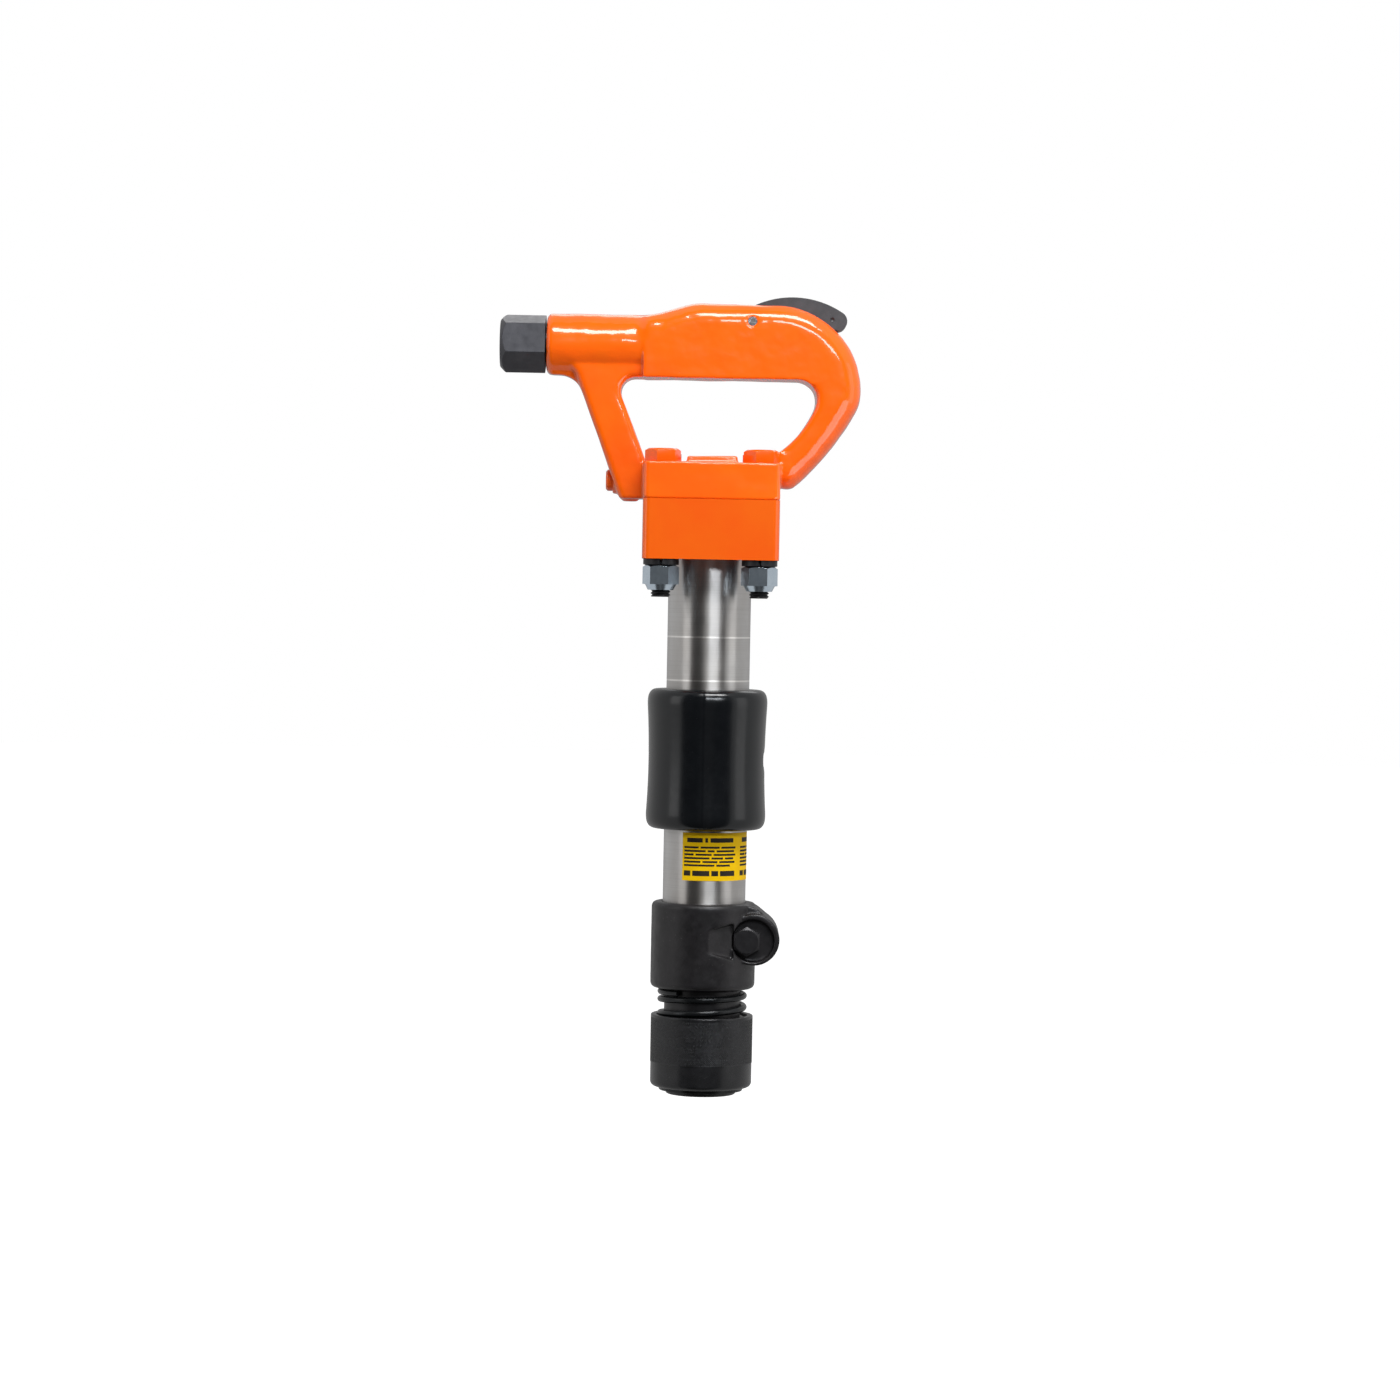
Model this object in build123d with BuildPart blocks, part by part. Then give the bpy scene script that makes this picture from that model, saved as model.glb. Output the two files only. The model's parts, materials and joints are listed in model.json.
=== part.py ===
from build123d import *
import math
import os

# Pneumatic chipping hammer with a D-handle, a four-bolt barrel and a ball-lock chisel retainer.
# The barrel's axis is Z and z = 0 is the nose's end. +X is the thumb lever's end, -X the air
# inlet's end, and the front is -Y. All sizes are in millimetres.

# ---- barrel and its flange ----
barrel_r = 23.0
barrel_wall = 8.7125
barrel_bottom_z = 62.0
barrel_length = 234.7
flange_height = 33.0
flange_half = 37.5
flange_corner_r = 4.0
shank_bushing_length = 55.0
exhaust_port_r = 3.5
long_port_r = 2.0
long_port_wall = 2.4
long_port_rise = 7.0
scribe_drops = (42.7, 66.7)
scribe_width = 0.35
scribe_depth = 0.12

# ---- bolts through handle and flange ----
bolt_inset = 10.5
bolt_r = 5.5
bolt_hole_clearance = 0.4
bolt_head_flats = 17.46
bolt_head_height = 7.1
bolt_head_turn = 12.0
bolt_pocket_gap = 3.12
bolt_pocket_height = 12.0
washer_r = 9.8
washer_thickness = 3.3
washer_slit = 1.4
nut_height = 10.7
nut_nose_height = 3.1
nut_nose_inset = 1.7
nut_turn = -5.0
thread_stub = 3.8
thread_chamfer = 0.8

# ---- handle ----
handle_block_height = 20.3
handle_block_corner_r = 3.0
handle_rib_half_y = 24.0
handle_rib_height = 3.6
hand_gap = 46.5
grip_height = 41.4
grip_half_depth = 17.5
grip_outer_round = 11.0
grip_inner_round = 7.5
grip_left_x = -39.0
grip_rise_end_x = -6.0
knuckle_start_x = 33.5
knuckle_r = 48.0
heel_r = 20.0
back_r = 150.0
palm_start_x = 46.0
palm_r = 11.0
throat_r = 60.0
boss_r = 17.0
boss_rise = 17.9
boss_end_x = -92.5
boss_edge_round = 1.8
boss_root_x = -25.0
strut_half_depth = 13.4
strut_edge_round = 3.5
strut_foot_reach = 13.8
strut_inner_reach = 2.1
strut_inner_rise = 8.7
strut_hand_round = 8.0
strut_foot_rise = 1.0
strut_root_reach = 0.6644
strut_root_rise = 1.2407
strut_root_inset = 6.617
strut_root_top = 1.724
strut_foot_step = 0.6
foot_pad_r = 4.2
foot_pad_drop = 1.4
foot_pad_inset = 7.7
air_bore_r = 5.5
air_bore_end_x = 20.0
cross_bore_r = 3.8
outlet_r = 4.5

# ---- oil plug in the left strut ----
plug_rise = 10.1
plug_r = 5.9
plug_boss_r = 7.5
plug_length = 14.6
plug_reach = 21.1
plug_chamfer = 1.0
plug_socket_r = 2.5
plug_socket_depth = 5.0
oil_bore_r = 4.2
oil_bore_length = 5.0

# ---- air inlet ----
inlet_flats = 28.6
inlet_turn = 11.0
inlet_hex_length = 25.1
inlet_gap = 0.7
inlet_neck_r = 10.0
inlet_neck_length = 16.0
inlet_bore_r = 7.6
inlet_thread_length = 15.0
screen_thickness = 1.0
screen_hole_r = 0.75

# ---- throttle ----
pivot_x = 20.8
pivot_drop = 9.8
pin_r = 2.5
pin_bore_r = 1.1
pin_end_gap = 0.6
slot_width = 16.0
lever_side_gap = 0.5
lever_pivot_r = 5.0
lever_edge_round = 1.6
lever_dimple_r = 1.6
pivot_clearance = 0.06
valve_x = 46.0
seat_r = 8.0
seat_drop = 14.4
seat_height = 12.0
seat_port_r = 4.2
seat_guide_length = 4.0
side_port_r = 2.4
side_port_rise = 3.7
side_groove_depth = 1.2
side_groove_height = 5.2
oring_rise = 9.3
oring_groove_depth = 1.5
oring_groove_height = 1.7
oring_r = 0.74
stem_r = 2.4
stem_clearance = 0.06
stem_tip_round = 0.8
stem_tip_gap = 0.25
valve_head_r = 5.8
valve_head_height = 3.6
valve_seat_gap = 0.05
valve_chamber_r = 7.0
valve_chamber_depth = 11.3
throttle_wire_r = 0.45
throttle_spring_r = 4.0
throttle_spring_turns = 4.0
throttle_spring_gap = 0.05

# ---- valve box between handle and barrel ----
valve_box_inset = 3.0
valve_box_depth = 25.0
valve_box_lower_height = 12.0
valve_box_spigot = 3.0
plenum_r = 16.0
plenum_height = 9.0
shuttle_r = 11.95
shuttle_clearance = 0.05
shuttle_floor_height = 3.3
shuttle_height = 14.0
shuttle_travel = 3.0
shuttle_bore_r = 5.0
shuttle_groove_width = 5.0
shuttle_groove_depth = 2.5
feed_hole_r = 1.8
feed_hole_radius = 8.0
feed_hole_count = 6
dowel_r = 1.5
dowel_half_length = 6.0

# ---- piston and shank bushing ----
piston_clearance = 0.0375
piston_length = 70.0
piston_rest_gap = 0.2
piston_chamfer = 1.5
piston_groove_depth = 0.4
piston_groove_width = 2.0
shank_r = 8.65
bushing_step = 0.7875
bushing_ledge = 0.25
bushing_flange_height = 5.0

# ---- rubber grip and label on the barrel ----
rubber_gap = 40.5
rubber_length = 77.5
rubber_wall = 10.2
rubber_waist_depth = 0.95
rubber_end_wall = 5.0
rubber_corner = 9.0
exhaust_rise = 38.9
exhaust_hole_gap = 2.0
label_gap = 12.9
label_height = 26.4
label_thickness = 0.2
label_start_deg = -122.0
label_arc_deg = 172.0

# ---- chisel retainer ----
clamp_wall = 6.0
clamp_floor = 2.8
clamp_height = 47.9
clamp_edge_round = 2.8
lug_inset = 1.1
lug_rise = 25.6
lug_r = 14.2
lug_half_length = 20.0
web_r = 11.0
web_shift = 3.9
web_rise = 7.4
spotface_edge = 2.4
spotface_shift = 0.5
spotface_drop = 0.6
spotface_half = 16.0
spotface_wall = 7.0
ramp_start_x = 2.5
ramp_depth = 2.6
ramp_start_half_z = 6.0
ramp_end_half_z = 10.0
clamp_bolt_reach = 0.9
clamp_bolt_drop = 0.8
clamp_bolt_r = 4.76
clamp_bolt_hole_clearance = 0.14
clamp_bolt_flats = 14.29
clamp_bolt_head_height = 6.0
clamp_washer_r = 7.1
clamp_washer_clearance = 0.2
clamp_washer_thickness = 2.2
clamp_nut_height = 8.3
clamp_bolt_tail = 1.6
nose_bore_r = 16.25
nose_wall = 3.4
nose_chamfer = 0.8
neck_step = 1.45
ball_relief = 0.35
ball_relief_margin = 1.135
ball_r = 4.365
ball_clearance = 0.055
ball_inset = 1.35
ball_z = 23.0
ball_count = 3
ball_seat_step = 0.065
ball_seat_depth = 0.15
sleeve_travel = 9.0
ball_travel = 3.3
sleeve_wall = 3.15
sleeve_band_step = 0.2
sleeve_band_height = 13.6
sleeve_length = 40.1
sleeve_edge_round = 2.8
sleeve_top_chamfer = 0.8
sleeve_clearance = 0.35
sleeve_land_rise = 9.0
sleeve_lip_height = 4.4
sleeve_rest_gap = 0.1
cone_overrun = 1.2
cone_clearance = 0.06
spring_inner_gap = 0.3
spring_clearance = 0.3
spring_end_gap = 0.1
spring_wire_r = 1.75
spring_turns = 3.3
snap_ring_z = 2.2
snap_ring_thickness = 2.0
snap_ring_width = 4.65
snap_groove_depth = 1.05
snap_ring_gap = 9.0
stop_washer_width = 4.35
stop_washer_thickness = 1.6

# ---- places that follow from the sizes above: barrel, bolts and valve box ----
flange_bottom_z = barrel_bottom_z + barrel_length
flange_top_z = flange_bottom_z + flange_height
piston_bore_r = barrel_r - barrel_wall
long_port_radius = barrel_r - long_port_wall - long_port_r
chamber_bottom_z = barrel_bottom_z + shank_bushing_length
long_port_foot_z = chamber_bottom_z + long_port_rise
bolt_spacing = 2 * (flange_half - bolt_inset)
bolt_hole_r = bolt_r + bolt_hole_clearance
bolt_head_r = bolt_head_flats / math.sqrt(3)
bolt_pocket_r = bolt_head_r + bolt_pocket_gap
washer_bottom_z = flange_bottom_z - washer_thickness
nut_bottom_z = washer_bottom_z - nut_height - nut_nose_height
bolt_end_z = nut_bottom_z - thread_stub
valve_box_r = barrel_r - valve_box_inset
valve_pocket_z = flange_top_z - valve_box_depth
valve_split_z = valve_pocket_z + valve_box_lower_height
valve_box_top_z = flange_top_z + valve_box_spigot
shuttle_floor_z = valve_pocket_z + shuttle_floor_height
shuttle_room_r = shuttle_r + shuttle_clearance
dowel_radius = (shuttle_room_r + valve_box_r) / 2
bushing_r = piston_bore_r - bushing_step
bushing_flange_r = nose_bore_r + bushing_ledge
bushing_top_z = chamber_bottom_z - piston_rest_gap

# ---- places that follow: handle, inlet and throttle ----
block_top_z = flange_top_z + handle_block_height
handle_rib_half_x = bolt_spacing / 2 - bolt_pocket_r
grip_bottom_z = block_top_z + hand_gap
grip_top_z = grip_bottom_z + grip_height
boss_z = grip_bottom_z + boss_rise
foot_x = -flange_half - strut_foot_reach
foot_z = flange_top_z + strut_foot_rise
inner_x = -flange_half - strut_inner_reach
inner_z = block_top_z + strut_inner_rise
plug_z = flange_top_z + plug_rise
plug_end_x = -flange_half - plug_reach
plug_seat_x = plug_end_x + plug_length
inlet_seat_x = boss_end_x + inlet_neck_length
inlet_face_x = boss_end_x - inlet_gap
inlet_end_x = inlet_face_x - inlet_hex_length
pivot_z = grip_top_z - pivot_drop
seat_top_z = grip_top_z - seat_drop
seat_bottom_z = seat_top_z - seat_height
side_port_z = seat_bottom_z + side_port_rise
oring_z = seat_bottom_z + oring_rise
valve_chamber_floor_z = seat_bottom_z - valve_chamber_depth
lever_width = slot_width - 2 * lever_side_gap
lever_pad_z = pivot_z + 2.6

# ---- places that follow: rubber grip, label and retainer ----
clamp_r = barrel_r + clamp_wall
clamp_bottom_z = barrel_bottom_z - clamp_floor
clamp_top_z = clamp_bottom_z + clamp_height
rubber_bottom_z = clamp_top_z + rubber_gap
rubber_top_z = rubber_bottom_z + rubber_length
rubber_r = barrel_r + rubber_wall
rubber_end_r = barrel_r + rubber_end_wall
exhaust_z = rubber_bottom_z + exhaust_rise
label_bottom_z = clamp_top_z + label_gap
lug_x = clamp_r - lug_inset
lug_z = barrel_bottom_z + lug_rise
spotface_r = lug_r - spotface_edge
spotface_wall_x = barrel_r - spotface_wall
clamp_bolt_x = barrel_r + clamp_bolt_reach
clamp_bolt_z = lug_z - clamp_bolt_drop
clamp_bolt_hole_r = clamp_bolt_r + clamp_bolt_hole_clearance
nose_r = nose_bore_r + nose_wall
neck_r = nose_r + neck_step
ball_rest_radius = nose_bore_r + ball_inset
ball_seat_r = ball_r - ball_seat_step
ball_relief_half_z = ball_r + ball_relief_margin
stop_washer_z = snap_ring_z + snap_ring_thickness
stop_washer_r = nose_r + stop_washer_width
neck_shoulder_z = stop_washer_z + stop_washer_thickness
snap_groove_r = nose_r - snap_groove_depth
snap_ring_r = snap_groove_r + snap_ring_width
sleeve_bottom_z = stop_washer_z
sleeve_top_z = sleeve_bottom_z + sleeve_length
sleeve_band_top_z = sleeve_bottom_z + sleeve_band_height
sleeve_lip_top_z = sleeve_bottom_z + sleeve_lip_height
sleeve_land_top_z = ball_z + sleeve_land_rise
sleeve_bore_r = neck_r + sleeve_clearance
spring_outer_r = neck_r + spring_inner_gap + 2 * spring_wire_r
sleeve_cavity_r = spring_outer_r + spring_clearance
sleeve_r = sleeve_cavity_r + sleeve_wall
sleeve_smooth_r = sleeve_r - sleeve_band_step
BASE = (Align.CENTER, Align.CENTER, Align.MIN)

os.makedirs("parts", exist_ok=True)


def bar(start, end, radius, mode=Mode.ADD):
    """Add or cut a round bar from one point to another in the part being built."""
    way = Vector(*end) - Vector(*start)
    with Locations(Plane(origin=start, z_dir=way).location):
        Cylinder(radius, way.length, align=BASE, mode=mode)


def hex_prism(flats, height, turn=0.0, bevel=1.0):
    """A hexagon from z = 0 up, with its top corners turned down in a 30 degree cone."""
    corner_r = flats / math.sqrt(3)
    face_r = flats / 2 - 0.05 * flats
    drop = (corner_r - face_r) * math.tan(math.radians(30)) * bevel
    with BuildPart() as prism:
        with BuildSketch():
            RegularPolygon(flats / 2, 6, major_radius=False, rotation=turn)
        extrude(amount=height)
        with BuildSketch(Plane.XZ):
            with BuildLine():
                Polyline(
                    (0, 0),
                    (corner_r + 1, 0),
                    (corner_r + 1, height - drop),
                    (corner_r, height - drop),
                    (face_r, height),
                    (0, height),
                    close=True,
                )
            make_face()
        revolve(axis=Axis.Z, mode=Mode.INTERSECT)
    return prism.part


def coil(wire_r, mean_r, bottom_z, top_z, turns, centre_x=0.0):
    """A round-wire spring that stands between two heights, with plain ends."""
    height = top_z - bottom_z - 2 * wire_r
    with BuildPart() as spring:
        with BuildLine() as centre_line:
            Helix(height / turns, height, mean_r, center=(centre_x, 0, bottom_z + wire_r))
        with BuildSketch(Plane(centre_line.line @ 0, z_dir=centre_line.line % 0)):
            Circle(wire_r)
        sweep(is_frenet=True)
    return spring.part


def save(part, name):
    """Label a finished piece and write its STEP file."""
    part.label = name
    export_step(part, f"parts/{name}.step")


def strut_profile(half_depth, top_z, corner_r):
    """The left strut's side view at its back face, rounded into the boss at the given height."""
    lean_x = 0.367
    lean_inner_x = 0.40
    overlap = 4.0
    outer_top_x = foot_x - (top_z - foot_z) * lean_x
    inner_top_x = inner_x - (grip_bottom_z - inner_z) * lean_inner_x
    with BuildSketch(Plane.XZ.offset(-half_depth)) as profile:
        with BuildLine():
            Polyline(
                (outer_top_x - corner_r, top_z + overlap),
                (outer_top_x - corner_r, top_z),
                (outer_top_x, top_z),
                (foot_x, foot_z),
                (foot_x + strut_foot_step, flange_top_z),
                (-flange_half + overlap, flange_top_z),
                (-flange_half + overlap, block_top_z - 1),
                (inner_x + (inner_z - block_top_z) * lean_inner_x, block_top_z - 1),
                (inner_top_x, grip_bottom_z),
                (inner_top_x + 2 * strut_hand_round, grip_bottom_z),
                (inner_top_x + 2 * strut_hand_round, top_z + overlap),
                close=True,
            )
        make_face()
        blend_corner = profile.vertices().sort_by_distance((outer_top_x, top_z, 0))[0]
        fillet(blend_corner, corner_r)
        hand_corner = profile.vertices().sort_by_distance((inner_top_x, grip_bottom_z, 0))[0]
        fillet(hand_corner, strut_hand_round)
    return profile.sketch


# ---- handle: grip bar and the curved strut at the lever's end ----
with BuildPart() as grip_loop:
    with BuildSketch(Plane.XZ):
        with BuildLine():
            rise = Spline(
                (grip_left_x, boss_z + boss_r),
                (grip_rise_end_x, grip_top_z),
                tangents=[(1, 0), (1, 0)],
            )
            top = Line(rise @ 1, (knuckle_start_x, grip_top_z))
            knuckle = JernArc(top @ 1, top % 1, knuckle_r, -91)
            heel = JernArc(knuckle @ 1, knuckle % 1, heel_r, -27)
            back = JernArc(heel @ 1, heel % 1, back_r, -20)
            foot = Line(back @ 1, (flange_half + strut_root_reach, flange_top_z + strut_root_rise))
            under = Line((grip_left_x, grip_bottom_z), (palm_start_x, grip_bottom_z))
            palm = JernArc(under @ 1, under % 1, palm_r, -113)
            throat = JernArc(palm @ 1, palm % 1, throat_r, -28)
            root_line = Line(
                throat @ 1, (flange_half - strut_root_inset, block_top_z + strut_root_top)
            )
            Line(foot @ 1, root_line @ 1)
            Line(rise @ 0, under @ 0)
        make_face()
    extrude(amount=grip_half_depth, both=True)
    outer_edges, inner_edges = [], []
    for curve, group in (
        (rise, outer_edges), (top, outer_edges), (knuckle, outer_edges), (heel, outer_edges),
        (back, outer_edges), (foot, outer_edges), (under, inner_edges), (palm, inner_edges),
        (throat, inner_edges), (root_line, inner_edges),
    ):
        middle = curve @ 0.5
        for side in (-grip_half_depth, grip_half_depth):
            spot = Vector(middle.X, side, middle.Z)
            group.append(grip_loop.edges().sort_by_distance(spot)[0])
    fillet(outer_edges, grip_outer_round)
    again = []
    for edge in inner_edges:
        again.append(grip_loop.edges().sort_by_distance(edge @ 0.5)[0])
    fillet(again, grip_inner_round)


# ---- handle: the flat left strut, in two depths that blend into the round boss ----
strut_layers = []
for half_depth, top_z, corner_r in (
    (strut_half_depth, boss_z - 0.61 * boss_r, 12.0),
    (0.6 * strut_half_depth, boss_z - boss_r, 14.0),
):
    with BuildPart() as strut_layer:
        extrude(strut_profile(half_depth, top_z, corner_r), amount=2 * half_depth)
        if half_depth == strut_half_depth:
            face_edges = [
                edge
                for edge in strut_layer.edges().filter_by(GeomType.LINE)
                if abs(abs(edge.center().Y) - half_depth) < 0.01
                and abs(edge.tangent_at(0.5).X) > 0.2
                and abs(edge.tangent_at(0.5).Z) > 0.8
                and edge.length > 20
            ]
            fillet(face_edges, strut_edge_round)
    strut_layers.append(strut_layer.part)

# ---- handle: everything joined, then the air way, the slot and the bores cut ----
with BuildPart() as handle:
    with BuildSketch(Plane.XY.offset(flange_top_z)):
        RectangleRounded(2 * flange_half, 2 * flange_half, handle_block_corner_r)
    extrude(amount=handle_block_height)
    with Locations((0, 0, block_top_z)):
        Box(2 * handle_rib_half_x, 2 * handle_rib_half_y, handle_rib_height, align=BASE)
    add(grip_loop.part)
    for layer in strut_layers:
        add(layer)
    with BuildSketch(Plane.XZ):
        with BuildLine():
            Polyline(
                (boss_end_x, boss_z),
                (boss_end_x, boss_z + boss_r - boss_edge_round),
                (boss_end_x + boss_edge_round, boss_z + boss_r),
                (boss_root_x, boss_z + boss_r),
                (boss_root_x, boss_z),
                close=True,
            )
        make_face()
    revolve(axis=Axis((0, 0, boss_z), (1, 0, 0)))
    # oil plug's boss on the strut and the small foot under it
    bar((plug_seat_x - 11, 0, plug_z), (plug_seat_x - 1, 0, plug_z), plug_boss_r)
    foot_pad_x = -flange_half - foot_pad_inset
    bar((foot_pad_x, 0, flange_top_z - foot_pad_drop), (foot_pad_x, 0, flange_top_z + 2),
        foot_pad_r)
    # pockets and holes for the four bolts
    with Locations((0, 0, block_top_z)):
        with GridLocations(bolt_spacing, bolt_spacing, 2, 2):
            Cylinder(bolt_pocket_r, bolt_pocket_height, align=BASE, mode=Mode.SUBTRACT)
    with Locations((0, 0, flange_top_z - 1)):
        with GridLocations(bolt_spacing, bolt_spacing, 2, 2):
            Cylinder(bolt_hole_r, handle_block_height + 2, align=BASE, mode=Mode.SUBTRACT)
    # air inlet bore and the air way to the throttle chamber
    bar((boss_end_x - 1, 0, boss_z), (inlet_seat_x, 0, boss_z), inlet_neck_r, Mode.SUBTRACT)
    bar((inlet_seat_x - 1, 0, boss_z), (air_bore_end_x, 0, boss_z), air_bore_r, Mode.SUBTRACT)
    bar((air_bore_end_x - 4, 0, boss_z - 1), (valve_x, 0, valve_chamber_floor_z + 5.3),
        cross_bore_r, Mode.SUBTRACT)
    # throttle bores
    bar((valve_x, 0, valve_chamber_floor_z), (valve_x, 0, seat_bottom_z + 1), valve_chamber_r,
        Mode.SUBTRACT)
    bar((valve_x, 0, seat_bottom_z), (valve_x, 0, grip_top_z), seat_r, Mode.SUBTRACT)
    # way out of the throttle, down the right strut to the valve box
    with BuildLine() as outlet_way:
        FilletPolyline(
            (valve_x + 4, 0, side_port_z - 0.6),
            (valve_x + 17, 0, side_port_z - 4.2),
            (valve_x + 24.5, 0, grip_bottom_z - 4.5),
            (valve_x + 20.5, 0, grip_bottom_z - 20.5),
            (plenum_r - 5, 0, flange_top_z + plenum_height / 2),
            radius=6,
        )
    with BuildSketch(Plane(outlet_way.line @ 0, z_dir=outlet_way.line % 0)):
        Circle(outlet_r)
    sweep(path=outlet_way.line, mode=Mode.SUBTRACT)
    # recess that centres the valve box, and the air space above it
    bar((0, 0, flange_top_z - 1), (0, 0, valve_box_top_z), valve_box_r, Mode.SUBTRACT)
    bar((0, 0, flange_top_z), (0, 0, flange_top_z + plenum_height), plenum_r, Mode.SUBTRACT)
    # lever slot, open at the top and at the knuckle
    with BuildSketch(Plane.XZ):
        with BuildLine():
            Polyline(
                (pivot_x - 7.8, pivot_z - lever_pivot_r - 0.8),
                (pivot_x + 9.2, pivot_z - lever_pivot_r - 0.8),
                (valve_x - 13, seat_top_z),
                (valve_x + 11, seat_top_z),
                (valve_x + 15, seat_top_z - 5.5),
                (valve_x + 44, seat_top_z - 10.5),
                (valve_x + 44, grip_top_z + 12),
                (pivot_x - 7.8, grip_top_z + 12),
                close=True,
            )
        make_face()
    extrude(amount=slot_width / 2, both=True, mode=Mode.SUBTRACT)
    bar((pivot_x, -grip_half_depth - 1, pivot_z), (pivot_x, grip_half_depth + 1, pivot_z), pin_r,
        Mode.SUBTRACT)
    bar((plug_end_x - 1, 0, plug_z), (plug_seat_x, 0, plug_z), plug_r, Mode.SUBTRACT)
    bar((plug_seat_x - 1, 0, plug_z), (plug_seat_x + oil_bore_length, 0, plug_z), oil_bore_r,
        Mode.SUBTRACT)
save(handle.part, "handle")

# ---- oil plug in the left strut ----
with BuildPart() as oil_plug:
    bar((plug_end_x, 0, plug_z), (plug_seat_x, 0, plug_z), plug_r)
    chamfer(oil_plug.faces().sort_by(Axis.X)[0].edges(), plug_chamfer)
    with BuildSketch(Plane((plug_end_x, 0, plug_z), z_dir=(1, 0, 0))):
        RegularPolygon(plug_socket_r, 6, major_radius=False)
    extrude(amount=plug_socket_depth, mode=Mode.SUBTRACT)
save(oil_plug.part, "oil_plug")

# ---- air inlet ----
inlet_hex = hex_prism(inlet_flats, inlet_hex_length, inlet_turn, 1.6)
with BuildPart() as inlet_bushing:
    with Locations(Plane((inlet_face_x, 0, boss_z), z_dir=(-1, 0, 0)).location):
        add(inlet_hex)
    bar((inlet_face_x - 1, 0, boss_z), (inlet_seat_x - screen_thickness, 0, boss_z), inlet_neck_r)
    bar((inlet_end_x, 0, boss_z), (inlet_end_x + inlet_thread_length, 0, boss_z), inlet_bore_r,
        Mode.SUBTRACT)
    bar((inlet_end_x, 0, boss_z), (inlet_seat_x, 0, boss_z), air_bore_r, Mode.SUBTRACT)
save(inlet_bushing.part, "inlet_bushing")

with BuildPart() as inlet_screen:
    bar((inlet_seat_x - screen_thickness, 0, boss_z), (inlet_seat_x, 0, boss_z), inlet_neck_r)
    with Locations(Plane((inlet_seat_x - screen_thickness, 0, boss_z), z_dir=(1, 0, 0)).location):
        for ring_r, count in ((1.9, 6), (3.9, 12)):
            with PolarLocations(ring_r, count):
                Cylinder(screen_hole_r, 3 * screen_thickness, mode=Mode.SUBTRACT)
save(inlet_screen.part, "inlet_screen")

# ---- throttle lever on its roll pin ----
with BuildPart() as lever_pin:
    pin_half = grip_half_depth - pin_end_gap
    bar((pivot_x, -pin_half, pivot_z), (pivot_x, pin_half, pivot_z), pin_r)
    bar((pivot_x, -pin_half, pivot_z), (pivot_x, pin_half, pivot_z), pin_bore_r, Mode.SUBTRACT)
save(lever_pin.part, "lever_pin")

with BuildPart() as throttle_lever:
    with BuildSketch(Plane.XZ) as lever_side:
        with BuildLine():
            crown = ThreePointArc(
                (pivot_x + 1.6, grip_top_z - 0.2),
                (valve_x - 2.5, grip_top_z + 4.4),
                (valve_x + 24.6, grip_top_z - 3.7),
            )
            heel_rise = Spline(
                (pivot_x - lever_pivot_r, pivot_z), crown @ 0, tangents=[(0, 1), crown % 0]
            )
            tip = TangentArc(
                crown @ 1, (valve_x + 24.2, grip_top_z - 13.3), tangent=crown % 1
            )
            Polyline(
                tip @ 1,
                (valve_x + 20.8, grip_top_z - 14.4),
                (valve_x + 16.0, grip_top_z - 12.9),
                (valve_x + 8.0, grip_top_z - 8.3),
                (valve_x, lever_pad_z),
                (valve_x - 11.0, lever_pad_z - 0.3),
                (pivot_x + 7, pivot_z - 3.6),
                (pivot_x, pivot_z - lever_pivot_r),
                (pivot_x - lever_pivot_r, pivot_z),
            )
        make_face()
    extrude(amount=lever_width / 2, both=True)
    crown_edges = []
    for side in (-1, 1):
        for curve in (heel_rise, crown, tip):
            spot = Vector((curve @ 0.5).X, side * lever_width / 2, (curve @ 0.5).Z)
            crown_edges.append(throttle_lever.edges().sort_by_distance(spot)[0])
    fillet(crown_edges, lever_edge_round)
    bar((pivot_x, -lever_width, pivot_z), (pivot_x, lever_width, pivot_z),
        pin_r + pivot_clearance, Mode.SUBTRACT)
    for side in (-1, 1):
        with Locations((valve_x + 18.9, side * (lever_width / 2 + 0.9), grip_top_z - 7.6)):
            Sphere(lever_dimple_r, mode=Mode.SUBTRACT)
save(throttle_lever.part, "throttle_lever")

# ---- throttle valve and its seat ----
with BuildPart() as throttle_seat:
    bar((valve_x, 0, seat_bottom_z), (valve_x, 0, seat_top_z), seat_r)
    bar((valve_x, 0, seat_bottom_z), (valve_x, 0, seat_top_z - seat_guide_length), seat_port_r,
        Mode.SUBTRACT)
    bar((valve_x, 0, seat_bottom_z), (valve_x, 0, seat_top_z + 1), stem_r + stem_clearance,
        Mode.SUBTRACT)
    for way in ((1, 0), (-1, 0), (0, 1), (0, -1)):
        bar((valve_x, 0, side_port_z), (valve_x + 10 * way[0], 10 * way[1], side_port_z),
            side_port_r, Mode.SUBTRACT)
    with BuildSketch(Plane.XZ):
        with Locations((valve_x + seat_r, side_port_z)):
            Rectangle(2 * side_groove_depth, side_groove_height)
        with Locations((valve_x + seat_r, oring_z)):
            Rectangle(2 * oring_groove_depth, oring_groove_height)
    revolve(axis=Axis((valve_x, 0, 0), (0, 0, 1)), mode=Mode.SUBTRACT)
save(throttle_seat.part, "throttle_seat_bushing")

with BuildPart() as throttle_oring:
    with BuildSketch(Plane.XZ):
        with Locations((valve_x + seat_r - oring_groove_depth / 2, oring_z)):
            Circle(oring_r)
    revolve(axis=Axis((valve_x, 0, 0), (0, 0, 1)))
save(throttle_oring.part, "throttle_bushing_oring")

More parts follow.
